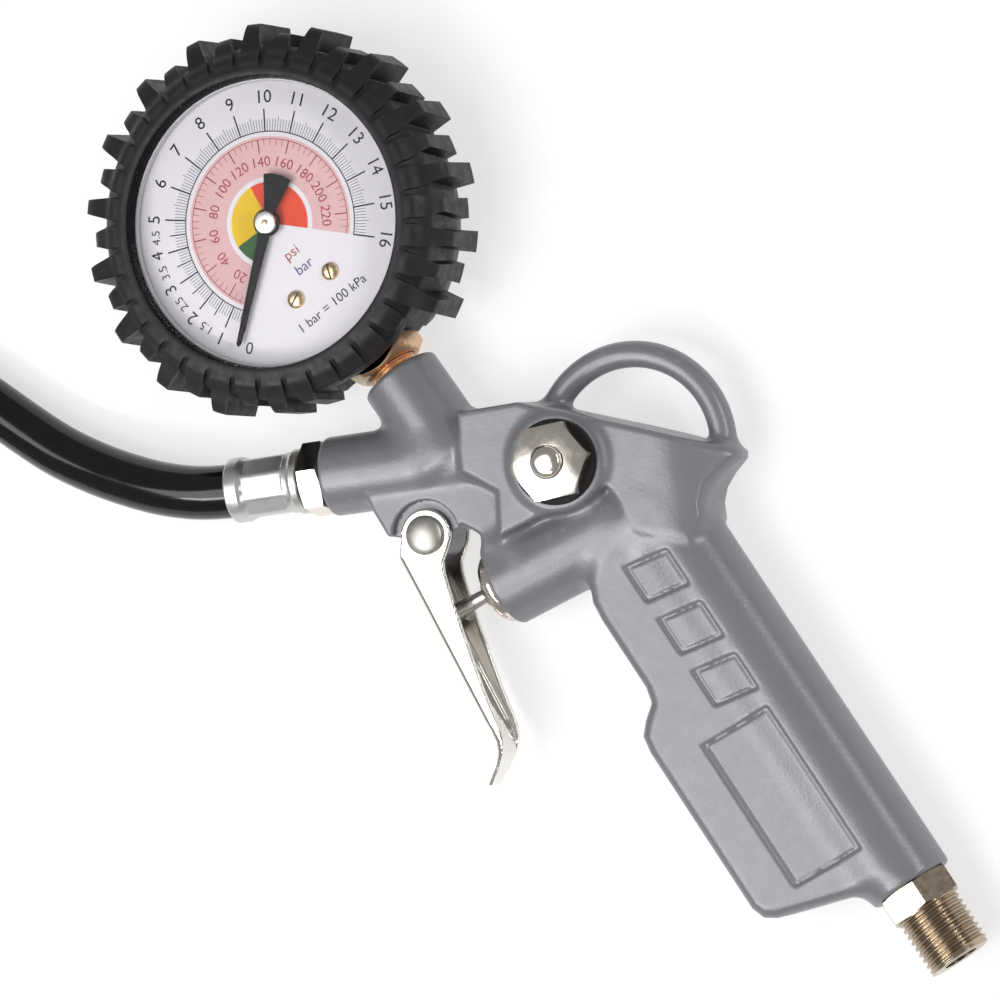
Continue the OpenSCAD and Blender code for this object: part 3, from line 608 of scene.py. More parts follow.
BOSS_REACH = 37.9
HALF_THICK = MIDDLE_TO_FLOOR  # the gun lies on its side
CAP = (31.1, 10.5)
HOOK = (44, 11.5)
HOOK_R = 18.65
MARK_EDGE = 0.9
MARK_DEPTH = 0.22
GROOVE_HALF = 0.75
GROOVE_DEPTH = 0.34
MARKS = [
    [(7.4 + 12.3 * i, 11.1), (15.5 + 12.3 * i, 11.1), (17.8 + 12.3 * i, 1.6), (9.7 + 12.3 * i, 1.6)]
    for i in range(3)
] + [[(45, 17.7), (78, 17.7), (79.4, 2.2), (46.4, 2.2)]]


def body_distance(x, y, z):
    """The casting, with soft fillets where its shapes meet."""
    c, s = math.cos(HANDLE_ANGLE), math.sin(HANDLE_ANGLE)
    u = (x - HEAD_X) * c + y * s
    v = (x - HEAD_X) * s - y * c
    barrel = rod(x, y, z, (30, BARREL_Y), math.pi, 30 - BARREL_FRONT, 8, 0.7)
    boss_start = IN_GAUGE @ Vector((0, -BOSS_REACH, 0))
    boss = rod(x, y, z, boss_start, GAUGE_ANGLE, 21, 8.2, 0.9)
    head = slab(outline_distance(x, y, [
        (11, 23.2), (24, 23.4), (31, 21), (45, 16.2), (59.8, 10.9), (64.8, 9.6), (66.7, 8.1), (66.5, 6.6),
        (63.2, 4.2), (60.6, 1.6), (59.4, -1.2), (59.4, -4.4), (56, -8), (46, -4), (40, 5), (16.8, -2.4),
        (17.4, 6.6), (10.4, 11.4)
    ]), z, HALF_THICK, 1.1)
    head = both(head, np.abs(z) - HALF_THICK + 0.5 * (x - 56), 3.0)
    lug = slab(outline_distance(x, y, [
        (-13, 14.5), (-11, 6.8), (-8.2, 0.8), (-5, 0), (5, 0), (8, 1), (11.5, -1.3), (12.4, -4), (18, -5),
        (18, 14.5)
    ]), z, 6, 1.0)
    eye = slab(np.sqrt(x ** 2 + y ** 2) - 5, z, 4.3, 0.4)
    valve_tube = rod(x, y, z, (HEAD_X, 0), math.pi + VALVE_ANGLE, 36.7, 8.4, 0.8)
    tube = rod(x, y, z, (HEAD_X, 0), HANDLE_ANGLE, HANDLE_LENGTH, 8.5, 0.8)
    blade = slab(outline_distance(u, v, [
        (-2, 0), (2, 15), (5, 19.2), (9, 21.2), (13, 21.6), (29, 21.6), (32, 22.4), (34.2, 25.4),
        (36.4, 27.6), (40, 28.2), (76.5, 28.2), (79.3, 27.2), (80.8, 25), (86.4, 8), (86.4, 0)
    ]), z, 7.5, 2.6)
    shape = smooth_union(barrel, boss, 3.2)
    shape = smooth_union(shape, lug, 1.0)
    shape = smooth_union(shape, eye, 0.6)
    shape = smooth_union(shape, valve_tube, 5.0)
    handle = smooth_union(tube, blade, 4.0)
    shape = smooth_union(shape, handle, 4.0)
    shape = smooth_union(shape, head, 2.2)
    ring = np.sqrt((x - HOOK[0]) ** 2 + (y - HOOK[1]) ** 2) - HOOK_R
    angle = np.degrees(np.arctan2(y - HOOK[1], x - HOOK[0]))
    hook = np.sqrt(ring ** 2 + z ** 2) - 2.65
    hook = np.maximum(hook, np.where((angle > -14) & (angle < 152), -1, 1) * 3.0 + 0 * z)
    shape = smooth_union(shape, hook, 2.2)
    shape = both(shape, np.abs(z) - HALF_THICK + 0 * x, 0.5)
    shape = smooth_union(shape, post(x, y, z, CAP, 9.4, 0, 10.2, 0.5), 3.0)
    return hollowed(shape, x, y, z, u, v)


def ease(t):
    """t from 0 to 1, with a soft start and end."""
    t = np.clip(t, 0, 1)
    return t * t * (3 - 2 * t)


def hollowed(shape, x, y, z, u, v):
    """Cuts the trigger's room, the bores and the handle's shallow marks."""
    beside_eye = 4.3 - np.abs(z)
    room = np.maximum(np.sqrt(x ** 2 + y ** 2) - 7, beside_eye)
    below = np.maximum(np.maximum(np.abs(x + 0.05) - 6.95, np.abs(y + 5) - 5), beside_eye)
    shape = cut(shape, np.minimum(room, below), 0.5)
    for bore in (
        rod(x, y, z, (32, BARREL_Y), math.pi, 60, 3),
        rod(x, y, z, (-9.7, BARREL_Y), math.pi, 12, 4.86),
        rod(x, y, z, IN_GAUGE @ Vector((0, 1 - BOSS_REACH, 0)), GAUGE_ANGLE, 12.5, 4.86),
        rod(x, y, z, (HEAD_X, 0), HANDLE_ANGLE, 92, 4),
        rod(x, y, z, (HEAD_X, 0), math.pi + VALVE_ANGLE, 12, 3),
        post(x, y, z, CAP, 4.5, -6, 14),
        post(x, y, z, CAP, 6, 4, 14),
        post(x, y, z, (0, 0), 2, -15, 15),
    ):
        shape = cut(shape, bore)
    for angle, start, length, radius in (
        (math.pi + VALVE_ANGLE, 5, 40, 6), (math.pi + VALVE_ANGLE, 30, 15, 6.6), (HANDLE_ANGLE, 80, 12, 6)
    ):
        mouth = (HEAD_X + start * math.cos(angle), start * math.sin(angle))
        shape = cut(shape, rod(x, y, z, mouth, angle, length, radius))
    face = np.clip(np.abs(z) - 5, 0, 1)
    for corners in MARKS:
        mark = outline_distance(u, v, corners)
        sunk = ease(0.5 - mark / MARK_EDGE)
        groove = ease(1 - np.abs(mark + 0.2) / GROOVE_HALF)
        shape = shape + face * (MARK_DEPTH * sunk + GROOVE_DEPTH * groove)
    return shape


def make_body():
    """The grid runs along the handle, so that the handle's edges come out straight."""
    c, s = math.cos(HANDLE_ANGLE), math.sin(HANDLE_ANGLE)

    def along(p, q, z):
        return body_distance(HEAD_X + p * c - q * s, p * s + q * c, z)

    step = 0.45
    points, faces = surface_of(along, (-57, -64, -10.3), (92, 27, 11.9), step)
    place = shift(HEAD_X, 0) @ Matrix.Rotation(HANDLE_ANGLE, 4, "Z")
    make_piece("cast_body", points, faces, "cast", place, slot="cast_grey", nodes=("gun_body",),
               sharp_above=50)


make_body()


# ---- trigger

def trigger_outline():
    """The front line and the whole outline of the trigger's side."""
    front = [(-6.3, -4.6), (-3.5, -11.4), (8.3, -40.6), (8.9, -42.8), (8.8, -44.8), (7.9, -47),
             (5.2, -50.9)]
    toe = [(6.1, -51.1), (8.4, -48), (10.1, -45)]
    back = [(10.8, -42.2), (10.6, -40), (9.7, -36.6), (8.2, -31.6), (6.6, -25), (5.3, -19.5), (4.1, -13.8),
            (3, -8), (3, -5.6), (4.2, -3.3), (5.1, -1.4)]
    ear = [(5.3 * math.cos(math.radians(a)), 5.3 * math.sin(math.radians(a))) for a in range(0, 181, 15)]
    return front, front + toe + back + ear


TRIGGER_LINES = trigger_outline()


def trigger_distance(x, y, z):
    """A channel of bent sheet: its web follows the front line, and its sides reach back from it."""
    front, outline = TRIGGER_LINES
    sheet, half = 1.2, 5.8
    narrow = half - 3.6 * np.clip((-38 - y) / 13, 0, 1) ** 1.4
    z = z * half / narrow
    flat = outline_distance(x, y, outline)
    depth = line_distance(x, y, front) + 0 * z
    outer = slab(-depth + 0 * z, z, half, 1.5)
    inner = slab(sheet - depth, z, half - sheet, 0.5)
    shape = both(cut(outer, inner, 0.15), flat + 0 * z, 0.3)
    hole = np.sqrt(x ** 2 + y ** 2) - 2.05 + 0 * z
    return cut(shape, hole, 0.1)


def make_trigger():
    step = 0.28
    points, faces = surface_of(trigger_distance, (-8, -52.5, -7), (13.5, 7, 7), step)
    make_piece("trigger", points, faces, "trigger", body="trigger", slot="trigger_plate",
               nodes=("trigger_lever",), sharp_above=55)
    arc = [math.radians(a) for a in range(0, 91, 10)]
    dome = [(4 * math.sin(a), 6.25 + 1.5 * math.cos(a)) for a in arc]
    top = [(1.98, -5.85), (1.98, 5.85), (3.9, 5.85), (4, 5.95)] + dome[::-1]
    bottom = [(r, -z) for r, z in top[2:]][::-1]
    make_piece("trigger_rivet_turned", *turned(bottom + top), "rivet", slot="steel",
               nodes=("trigger_rivet",))


make_trigger()


# ---- boot

LUG_COUNT = 36
LUG_STEP = 10  # degrees from lug to lug
LUG_TURN = -2.5
LONG_LUG_R = 39.9
SHORT_LUG_R = 37.9


def boot_profile():
    """The boot from its back edge to its lip: radius, height, how far the lugs stand out (0 to 1),
    how far the shoulder ribs do, and half a lug's or rib's width in degrees."""
    back = [(31.9, -9.5), (32.3, -9.35), (32.8, -7.8), (33.5, -5.4), (34.3, -2.6), (35.0, -0.2),
            (35.15, 0.3)]
    rows = [(r, h, 0, 0, 3.3) for r, h in back]
    for h in (0.35, 0.6, 1.2, 3, 5, 7, 9, 11, 12.6, 13.5):
        out = 0.985 if h < 0.5 else 1
        rows.append((35.2 + 0.2 * min(1, h / 3), h, out, 0, 3.3 - 1.2 * h / 14))
    rows += [(35.35, 14.0, 0.97, 0, 2.15), (35.2, 14.4, 0.86, 0.3, 2.3), (34.9, 14.9, 0.66, 0.7, 2.6),
             (34.5, 15.4, 0.42, 1, 3.0), (34.0, 15.9, 0.2, 1, 3.5), (33.5, 16.4, 0.05, 1, 3.8),
             (32.9, 16.95, 0, 1, 4.0), (32.3, 17.45, 0, 1, 4.05), (31.8, 17.8, 0, 0.8, 4.1),
             (31.4, 18.05, 0, 0.25, 4.1), (31.0, 18.22, 0, 0, 4.1), (30.4, 18.38, 0, 0, 4.1),
             (29.7, 18.38, 0, 0, 4.1), (29.35, 18.3, 0, 0, 4.1), (29.2, 18.15, 0, 0, 4.1),
             (29.2, 18.03, 0, 0, 4.1), (30.5, 18.02, 0, 0, 4.1), (32.02, 17.4, 0, 0, 4.1),
             (32.02, 13.5, 0, 0, 4.1), (31.06, 13.5, 0, 0, 4.1), (31.06, -9.5, 0, 0, 3.3)]
    return rows


def from_stem(degrees):
    return abs((degrees + 180) % 360 - 180)


def make_boot():
    """One ring of rubber. Long and short lugs alternate, and each runs on over the front shoulder as a
    low rib. Angles start at the stem, where the lugs are left out and the back is open."""
    rings = []
    for r, h, out, rib, half in boot_profile():
        offsets = [0, half * 0.55, half * 0.94, half + 0.12, half + 0.4, LUG_STEP / 2]
        on = [1, 1, 1, 0.04, 0, 0]
        offsets += [LUG_STEP - o for o in offsets[4:0:-1]]
        on += on[4:0:-1]
        ring = []
        for i in range(LUG_COUNT):
            for offset, weight in zip(offsets, on):
                lug = i if offset <= LUG_STEP / 2 else i + 1
                centre = LUG_STEP * lug + LUG_TURN
                angle = LUG_STEP * i + LUG_TURN + offset
                tall = LONG_LUG_R if lug % 2 else SHORT_LUG_R
                tall -= 2.0 * max(0, 1 - from_stem(centre + 34) / 24)
                shown = from_stem(centre) > 22
                radius = r + max(weight * out * (tall - r) * shown, weight * rib * 0.75)
                height = h + weight * rib * 0.4
                opening = min(1, max(0, 17.5 - from_stem(angle))) * min(1, max(0, (9.2 - h) / 0.8))
                radius += (31.35 - radius) * opening if r > 31.3 else 0
                a = math.radians(angle - 90)
                ring.append((radius * math.cos(a), radius * math.sin(a), height))
        rings.append(ring)
    points, faces = rings_to_mesh(rings, closed=True)
    make_piece("boot_tread", points, faces, "boot", IN_GAUGE, slot="boot_rubber", nodes=("gauge_boot",),
               sharp_above=32)


make_boot()


# ---- gauge front

DIAL_TOP = 13.0
LENS_LOW = 16.0
LENS_TOP = 18.0
ZERO_ANGLE = 219  # the pointer's rest, in degrees round the dial
FULL_BAR = 16
ZERO_BAR = (225 - ZERO_ANGLE) * FULL_BAR / 270
PSI_IN_BAR = 14.504


def make_window():
    """The window with the rings that hold it, and the dial's plate."""
    lens = [(0, LENS_LOW), (28.2, LENS_LOW), (28.3, 14.7), (30.2, 14.7), (30.3, 14.8), (30.3, 16.7),
            (30.1, 17.2), (29.5, 17.7), (28.9, 17.95), (28.3, LENS_TOP), (0, LENS_TOP)]
    make_piece("window_pane", *turned(lens, 120), "window", IN_GAUGE, slot="window", nodes=("gauge_lens",),
               sharp_above=28)
    bezel = [(28.8, 13.65), (31.8, 13.65), (32, 13.85), (32, 17.1), (31.8, 17.3), (30.6, 17.3), (30.4, 17.1),
             (30.4, 14.6), (28.8, 14.6)]
    make_piece("bezel_ring", *turned(bezel, 120, closed=True), "bezel", IN_GAUGE, slot="bezel_black",
               nodes=("gauge_bezel",))
    rim = [(28.4, 13.15), (29.0, 13.15), (29.0, 14.4), (28.75, 14.55), (28.5, 14.5), (28.4, 14.3)]
    make_piece("dial_rim", *turned(rim, 120, closed=True), "rim", IN_GAUGE, slot="bezel_black")
    plate = [(1.25, 12.5), (29.7, 12.5), (29.75, 12.55), (29.75, 12.97), (29.7, DIAL_TOP), (1.25, DIAL_TOP)]
    make_piece("dial_face", *turned(plate, 120, closed=True), "dial", IN_GAUGE, slot="dial_white",
               nodes=("dial_plate",))


def fan(inner, outer, first, last, height, sides=None):
    """A flat ring sector on the dial between two angles in degrees, first above last."""
    count = max(1, int(abs(first - last) / 4)) if sides is None else sides
    a = np.radians(np.linspace(last, first, count + 1))
    low = np.stack([inner * np.cos(a), inner * np.sin(a), np.full(count + 1, height)], -1)
    high = np.stack([outer * np.cos(a), outer * np.sin(a), np.full(count + 1, height)], -1)
    faces = [(i, count + 1 + i, count + 2 + i, i + 1) for i in range(count)]
    return np.vstack([low, high]), faces


def dial_angle(bar):
    return 225 - 270 * bar / FULL_BAR


def tick(bar, inner, outer, width, height):
    """A short line along the dial's radius."""
    a = math.radians(dial_angle(bar))
    along = Vector((math.cos(a), math.sin(a), 0))
    across = Vector((-math.sin(a), math.cos(a), 0)) * width / 2
    up = Vector((0, 0, height))
    return [along * inner - across + up, along * outer - across + up, along * outer + across + up,
            along * inner + across + up], [(0, 1, 2, 3)]


def lettering(words, size, matrix):
    """The outline of words as flat faces, centred on the matrix's origin."""
    data = bpy.data.curves.new("words", "FONT")
    data.body = words
    data.size = size
    data.align_x = "CENTER"
    data.align_y = "CENTER"
    data.resolution_u = 3
    holder = bpy.data.objects.new("words", data)
    bpy.context.scene.collection.objects.link(holder)
    graph = bpy.context.evaluated_depsgraph_get()
    mesh = bpy.data.meshes.new_from_object(holder.evaluated_get(graph))
    part = moved(([v.co for v in mesh.vertices], [list(p.vertices) for p in mesh.polygons]), matrix)
    bpy.data.objects.remove(holder)
    bpy.data.meshes.remove(mesh)
    bpy.data.curves.remove(data)
    return part


def numeral(words, bar, radius, size, height):
    """A numeral whose top points outwards."""
    a = dial_angle(bar)
    place = turn(a, "Z") @ shift(radius, 0, height) @ turn(-90, "Z")
    return lettering(words, size, place)


def make_dial_print():
    """The bar scale outside, the psi scale inside it, their units and the coloured fans."""
    ink, grey, red, blue = [], [], [], []
    band = DIAL_TOP + 0.015
    line = DIAL_TOP + 0.035
    arc = 18.35
    for bar in range(1, FULL_BAR + 1):
        ink.append(tick(bar, arc, 22.9, 0.3, line))
        ink.append(numeral(str(bar), bar, 25.2, 3.7, line))
    ink.append(tick(ZERO_BAR, arc, 22.4, 0.3, line))
    ink.append(numeral("0", ZERO_BAR - 0.25, 25.2, 3.5, line))
    for half in range(1, 5):
        ink.append(numeral(f"{half}.5", half + 0.5, 24.9, 2.5, line))
        ink.append(tick(half + 0.5, arc, 21.9, 0.24, line))
    for i in range(6, 160):
        grey.append(tick(i / 10, arc, 20.8 if i % 5 else 21.4, 0.17, line - 0.01))
    ink.append(fan(arc - 0.1, arc + 0.1, ZERO_ANGLE, dial_angle(FULL_BAR), line, 90))
    ink.append(lettering("1 bar = 100 kPa", 2.75, shift(1.0, -21.2, line)))
    blue.append(lettering("bar", 3.1, shift(0.7, -11.5, line)))
    red.append(lettering("psi", 3.1, shift(0.2, -7.7, line)))
    for psi in range(20, 221, 20):
        bar = psi / PSI_IN_BAR
        red.append(tick(bar, 14.1, 16.8, 0.24, line))
        red.append(numeral(str(psi), bar, 12.2, 2.9, line))
    for psi in range(8, 232, 4):
        red.append(tick(psi / PSI_IN_BAR, 15.5, 16.8, 0.12, line))
    red.append(fan(16.75, 16.9, ZERO_ANGLE, dial_angle(FULL_BAR), line, 90))
    flat = dict(place=IN_GAUGE, slot="dial_white", smooth=False)
    make_piece("dial_print_black", *merged(*ink), "ink", **flat)
    make_piece("dial_print_grey", *merged(*grey), "grey_ink", **flat)
    make_piece("dial_print_red", *merged(*red), "red_ink", **flat)
    make_piece("dial_print_blue", *merged(*blue), "blue_ink", **flat)
    make_piece("dial_band", *fan(9.3, 17.4, ZERO_ANGLE, dial_angle(FULL_BAR), band, 120), "pink", **flat)
    for colour, low, high in (("green", ZERO_BAR, 2.8), ("yellow", 2.8, 8.4), ("red", 8.4, FULL_BAR)):
        part = fan(2.2, 8.3, dial_angle(low), dial_angle(high), band + 0.01)
        make_piece("dial_fan_" + colour, *part, colour, **flat)


def make_pointer():
    """The needle with its boss and fan-shaped tail, as one stamped plate."""
    a = [math.radians(d) for d in range(20, 161, 10)]
    outline = [(25.5, 0), (25.0, 0.45), (2.6, 1.15)] + [(2.8 * math.cos(t), 2.8 * math.sin(t)) for t in a]
    outline += [(-2.9, 1.25), (-9.3, 2.95), (-9.75, 1.5), (-9.9, 0)]
    outline += [(x, -y) for x, y in outline[1:-1][::-1]]
    low = [(x, y, 14.2) for x, y in outline]
    high = [(x, y, 14.7) for x, y in outline]
    n = len(outline)
    faces = [list(range(n))[::-1], list(range(n, 2 * n))]
    faces += [[i, (i + 1) % n, n + (i + 1) % n, n + i] for i in range(n)]
    make_piece("pointer_needle", low + high, faces, "pointer", IN_GAUGE @ turn(ZERO_ANGLE, "Z"),
               body="pointer", slot="pointer_black", nodes=("pointer",), bevel=0.08)
    hub = [(0.6, 13.4), (0.98, 13.4), (0.98, 14.7), (2.2, 14.7), (2.3, 14.8), (2.3, 15.3), (2.15, 15.55),
           (1.9, 15.6), (0.9, 15.6), (0.85, 15.5), (0.6, 15.5)]
    make_piece("pointer_cap", *turned(hub, 48, closed=True), "steel", IN_GAUGE, body="pointer", slot="steel",
               nodes=("pointer_hub",))
    pin = [(0, 15.2), (0.58, 15.2), (0.58, 15.65), (0.45, 15.74), (0, 15.75)]
    make_piece("pointer_pin_end", *turned(pin, 32), "brass", IN_GAUGE, body="pointer", slot="steel")


def make_dial_screws():
    """Slotted round heads on their shanks."""
    shank_and_head = [(0, 7.5), (0.9, 7.5), (0.9, 13), (1.75, 13), (1.82, 13.1), (1.7, 13.55), (1.3, 13.85),
                      (0.8, 13.95)]
    square = ((-1.5, -0.2), (1.5, -0.2), (1.5, 0.2), (-1.5, 0.2))
    bar = [(x, y, z) for z in (13.6, 13.97) for x, y in square]
    bar_faces = [(3, 2, 1, 0), (4, 5, 6, 7), (0, 1, 5, 4), (1, 2, 6, 5), (2, 3, 7, 6), (3, 0, 4, 7)]
    heads, slots = [], []
    for x, slot_turn in ((-4.6, 25), (4.6, 70)):
        place = shift(x, -15.8) @ turn(slot_turn, "Z")
        heads.append(moved(turned(shank_and_head, 40), place))
        slots.append(moved((bar, bar_faces), place))
    make_piece("dial_screw_heads", *merged(*heads), "brass", IN_GAUGE, slot="brass", nodes=("dial_screws",))
    make_piece("dial_screw_slots", *merged(*slots), "case", IN_GAUGE, slot="brass", bevel=0.05)


make_window()
make_dial_print()
make_pointer()
make_dial_screws()


# ---- threaded pieces

def wrench_block(across, length):
    """A square block whose far corners are turned off."""
    outer = np.minimum(across / 2 / np.cos(from_flat(FLAT_SIDES, 4)), across / math.sqrt(2) - 0.5)
    drop = (outer - across / 2 + 0.15) * 0.85
    end = across / 2 - 0.45
    eased = outer * 0.4 + end * 0.6
    rings = [(outer, 0), (outer, length - 0.2 - drop), (eased, length - 0.14 - drop * 0.4), (end, length)]
    return rings_to_mesh([around(r, z, FLAT_SIDES) for r, z in rings])


def make_socket():
    """The gauge's stem: a block for the wrench, a little off the middle, and the thread in the boss."""
    place = down_socket(31.5)
    block = moved(wrench_block(12.8, 4.2), place @ shift(-0.7, 0))
    neck = moved(turned([(0, -3.5), (4.95, -3.5), (5, -3.4), (5, 0.2), (0, 0.2)], 64), place)
    screw = moved(thread(4.85, 0.6, 0.91, 13, bore=1.5, run_in=0.2), down_socket(35.4))
    inner = moved(turned([(1.5, 0), (3.6, 0.3), (3.6, 5)], 32, closed=True), down_socket(23.6))
    # The block takes the paler brass, a painted highlight on its face; the neck and thread keep the copper
    # brass.
    make_piece("socket_block", *block, "pale_brass", slot="copper_brass", sharp_above=30)
    make_piece("socket_neck", *merged(neck, inner), "copper", slot="copper_brass", sharp_above=30)
    make_piece("socket_thread", *screw, "copper", slot="copper_brass", sharp_above=75)


def make_inlet():
    bore, hex_length = 3.6, 5.4
    hex_part = moved(hexagon(14, 0, hex_length, bore), along_handle(HANDLE_LENGTH) @ turn(12, "Z"))
    screw = moved(thread(6.58, 0.66, 1.337, 11.6, bore, run_in=0.7, run_out=1.2),
                  along_handle(HANDLE_LENGTH + hex_length))
    inner = moved(turned([(bore, -9.8), (5.9, -9.8), (5.9, 0.1), (bore, 0.1)], 64, closed=True),
                  along_handle(HANDLE_LENGTH))
    make_piece("inlet_nipple", *merged(hex_part, inner), "inlet", slot="nickel_plate",
               nodes=("inlet_adapter",), sharp_above=30)
    make_piece("inlet_thread", *screw, "inlet", slot="nickel_plate", sharp_above=75)


def ferrule_mesh():
    """A pressed sleeve: flats all round its middle between two round beads."""
    round_part = [(0, 6.35), (0.25, 6.6), (1.4, 6.6), (1.8, 6.35), (2.3, 6.2), (3.1, 6.2)]
    pressed_part = [(3.5, 6.2), (4.2, 6.2), (8, 6.2), (11.4, 6.2), (12.0, 6.2)]
    last_part = [(12.4, 6.2), (12.8, 6.3), (13.2, 6.55), (13.6, 6.6), (15.6, 6.6), (15.9, 6.4), (16, 6.1)]
    flats = 5.85 / np.cos(from_flat(FLAT_SIDES, 8))
    inner = HOSE_R + 0.04
    rings = [(0, inner)] + round_part + [(z, np.minimum(flats, r)) for z, r in pressed_part] + last_part
    return rings_to_mesh([around(r, z, FLAT_SIDES) for z, r in rings + [(16, inner)]], closed=True)


def make_hose_end():
    place = along_barrel(BARREL_FRONT)
    bore = 2.0
    hex_part = moved(hexagon(13.5, 0.35, 5, bore), place @ turn(42, "Z"))
    collar = [(bore, -10), (4.8, -10), (4.8, 0), (5.8, 0.02), (5.8, 0.4), (bore, 0.4)]
    tail = [(bore, 4.9), (3, 4.9), (3, 21), (bore, 21)]
    screw = moved(turned(collar, 64, closed=True), place)
    barb = moved(turned(tail, 32, closed=True), place)
    make_piece("hose_nut", *merged(hex_part, screw, barb), "nickel", slot="nickel_plate",
               nodes=("hose_fitting",), sharp_above=30)
    make_piece("hose_sleeve", *moved(ferrule_mesh(), along_barrel(HOSE_START + 0.4)), "ferrule",
               slot="nickel_plate", nodes=("crimp_ferrule",), sharp_above=22)


def make_side_cap():
    """The bleed valve's hexagonal cap, its seal ring and the button in its middle."""
    place = shift(*CAP)
    hex_part = moved(hexagon(14.4, 12, 15.7, 3.5, chamfer_low=False, crown=0.45), place @ turn(34.5, "Z"))
    stem = moved(turned([(1.9, 4.3), (5.95, 4.3), (5.95, 12.02), (1.9, 12.02)], 48, closed=True), place)
    make_piece("side_cap", *merged(hex_part, stem), "nickel", slot="nickel_plate", nodes=("bleed_bonnet",),
               sharp_above=26)
    gasket = [(6.2, 10.3), (8.5, 10.3), (8.5, 11.85), (8.4, 12), (6.2, 12)]
    make_piece("side_cap_ring", *turned(gasket, 72, closed=True), "gasket", place, slot="seal_rubber",
               nodes=("bleed_gasket",))
    button = [(0, 0), (2.6, 0), (2.6, 2), (1.5, 2), (1.5, 15), (3.2, 15), (3.3, 15.1), (3.3, 16.1),
              (3.15, 16.6), (2.6, 17.0), (1.7, 17.25), (0.8, 17.3), (0, 17.3)]
    make_piece("side_button", *turned(button, 48), "nickel", place, body="bleed", slot="nickel_plate",
               nodes=("bleed_button",), sharp_above=50)


def make_gland():
    """The nut that guides the air valve's pin, and the pin."""
    gland = [(1.6, 0), (6.55, 0), (6.55, 6.6), (7.3, 6.6), (7.4, 6.75), (7.4, 7.5), (7.2, 8.0), (6.4, 8.9),
             (5.2, 9.5), (4, 9.85), (3.2, 10.3), (2.9, 10.6), (1.6, 10.6)]
    make_piece("valve_nut", *turned(gland, 64, closed=True), "nickel", along_valve(30.1),
               slot="nickel_plate", nodes=("valve_gland",), sharp_above=40)
    pin = [(0, 13.4), (4, 13.4), (4, 17.4), (1.9, 17.4), (1.9, 19.2), (1.5, 19.6), (1.5, 49.4), (1.35, 49.8),
           (0.9, 50.2), (0, 50.4)]
    make_piece("valve_pin", *turned(pin, 40), "steel", along_valve(0), body="valve", slot="steel",
               nodes=("valve_stem",), sharp_above=40)


make_socket()
make_inlet()
make_hose_end()
make_side_cap()
make_gland()


# ---- springs

# The chuck's own frame: its axis is +Z, away from the hose
CHUCK = (shift(ROUTE[-1][0], ROUTE[-1][1], CHUCK_AXIS - MIDDLE_TO_FLOOR)
         @ Matrix.Rotation(HEADING, 4, "Z") @ turn(90, "Y") @ turn(180, "Z"))


def coil(radius, wire, length, turns, sides=8, steps_per_turn=24):
    """A wire spring along +Z, between heights 0 and length."""
    b = np.arange(sides) * 2 * math.pi / sides
    steps = steps_per_turn * turns
    rings = []
    for i in range(steps + 1):
        a = 2 * math.pi * i / steps_per_turn
        r = radius + wire * np.cos(b)
        z = wire + (length - 2 * wire) * i / steps - wire * np.sin(b)
        rings.append(np.stack([r * math.cos(a), r * math.sin(a), z], -1))
    return rings_to_mesh(rings)


def make_spring(name, node, place, radius, wire, length, turns):
    """A wire spring as a piece with its own mesh, in place of its CAD node."""
    shape = coil(radius, wire, length, turns)
    piece = make_piece(name, *shape, "steel", place, slot="steel", nodes=(node,))
    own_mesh(piece)
    return piece


make_spring("valve_coil", "valve_spring", along_valve(5.05), 3.4, 0.45, 8.3, 5)
make_spring("bleed_coil", "bleed_spring", shift(*CAP, -5.95), 2.6, 0.35, 5.9, 4)
clip_coil = make_spring("clip_coil", "clip_spring", CHUCK @ shift(5.25, 0, 20) @ turn(90, "Y"),
                        1.6, 0.3, 5.1, 5)


# ---- CAD nodes that stay

KEPT = {
    "case": ("gauge_case",),
    "copper": ("gauge_socket",),
    "brass": ("bourdon_tube", "movement_base", "movement_bridge", "sector_gear", "tip_link", "hairspring",
              "valve_seat", "chuck_pin"),
    "steel": ("pinion_shaft", "clip_pivot_pin"),
    "nickel": ("chuck_body", "chuck_nose"),
    "trigger": ("chuck_clip",),
    "seal": ("stem_seal", "valve_disc", "bleed_disc", "chuck_seal"),
}


def keep_node(node, material):
    """A CAD node whose shape is right gets its finish, and its split edges are joined."""
    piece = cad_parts[node]
    for material_slot in piece.material_slots:
        material_slot.material = MAT[material]
    weld = piece.modifiers.new("weld", "WELD")
    weld.merge_threshold = 2e-6


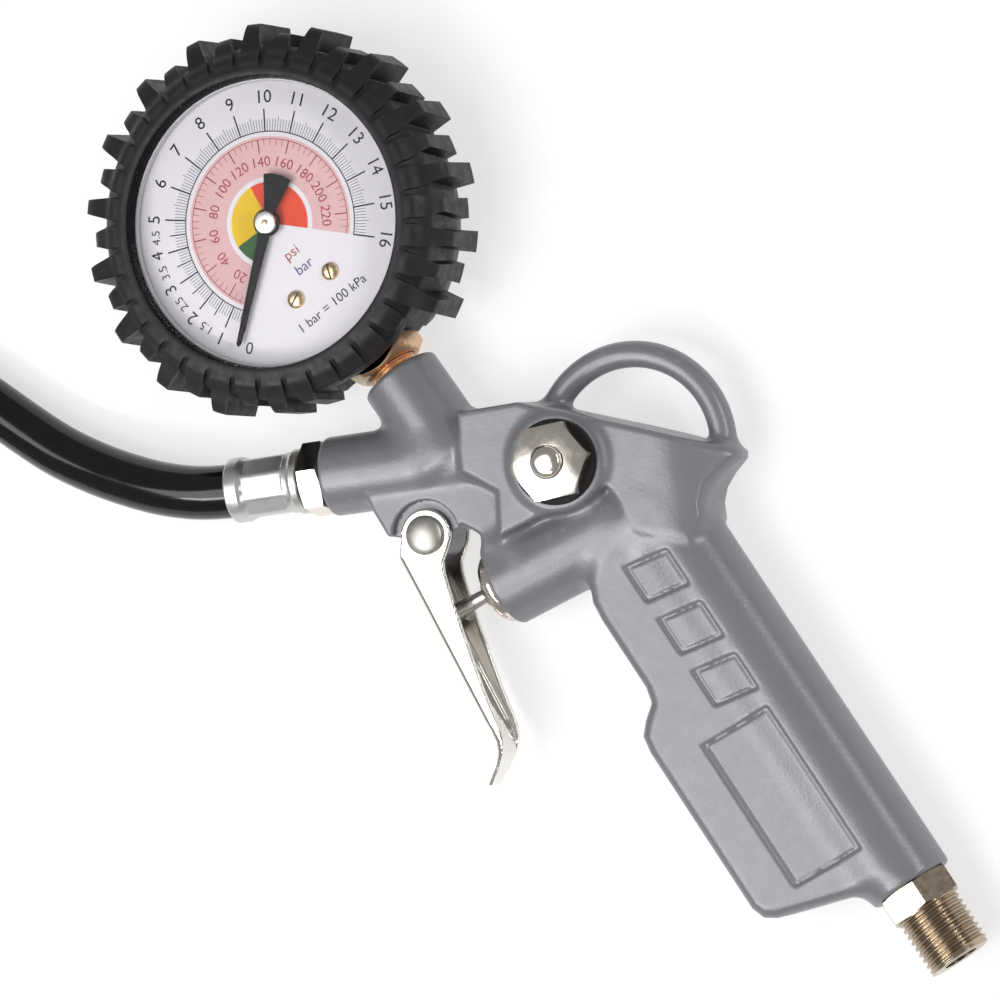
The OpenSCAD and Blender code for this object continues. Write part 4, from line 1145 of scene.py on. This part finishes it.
for finish_name, node_names in KEPT.items():
    for node_name in node_names:
        keep_node(node_name, finish_name)


# ---- the hose with the chuck at its end

chuck_sleeve = make_piece("chuck_sleeve", *ferrule_mesh(), "ferrule",
                          CHUCK @ shift(0, 0, 2) @ turn(180, "X"), slot="nickel_plate",
                          nodes=("chuck_ferrule",), sharp_above=22)


# ---- floor and light

def make_floor():
    """A plain pale floor that gives a little light of its own."""
    mesh = bpy.data.meshes.new("floor")
    half = 3.0
    corners = [(-half, -half, 0), (half, -half, 0), (half, half, 0), (-half, half, 0)]
    mesh.from_pydata(corners, [], [(0, 1, 2, 3)])
    floor = bpy.data.objects.new("floor", mesh)
    bpy.context.scene.collection.objects.link(floor)
    n = Nodes("floor_pale")
    shown = n.mix(n.spread(n.noise(300, 2.0), 0, 1), (0.4, 0.4, 0.4), (0.44, 0.44, 0.44))
    n.join(shown, n.shader.inputs["Base Color"])
    n.set("Roughness", 0.9)
    n.set("Specular IOR Level", 0.0)
    n.set("Emission Color", (1, 1, 1, 1))
    n.set("Emission Strength", 0.64)
    mesh.materials.append(n.material)


def add_light(name, place, size, power):
    """A rectangle of light that faces the origin. Places and sizes are in metres, power is in watts."""
    data = bpy.data.lights.new(name, "AREA")
    data.shape = "RECTANGLE"
    data.size, data.size_y = size
    data.energy = power
    light = bpy.data.objects.new(name, data)
    light.location = place
    light.rotation_euler = (-Vector(place)).to_track_quat("-Z", "Y").to_euler()
    bpy.context.scene.collection.objects.link(light)


def make_world():
    world = bpy.data.worlds.new("studio")
    world.use_nodes = True
    back = world.node_tree.nodes["Background"]
    back.inputs["Color"].default_value = (1, 1, 1, 1)
    back.inputs["Strength"].default_value = 0.3
    bpy.context.scene.world = world


make_floor()
make_world()
add_light("key", (-0.42, -0.14, 1.0), (0.7, 0.7), 6)
add_light("low", (-0.34, -0.6, 0.95), (1.0, 0.06), 4)
add_light("right", (0.95, 0.2, 0.6), (0.8, 0.08), 3.2)
bpy.context.scene.view_settings.view_transform = "Standard"
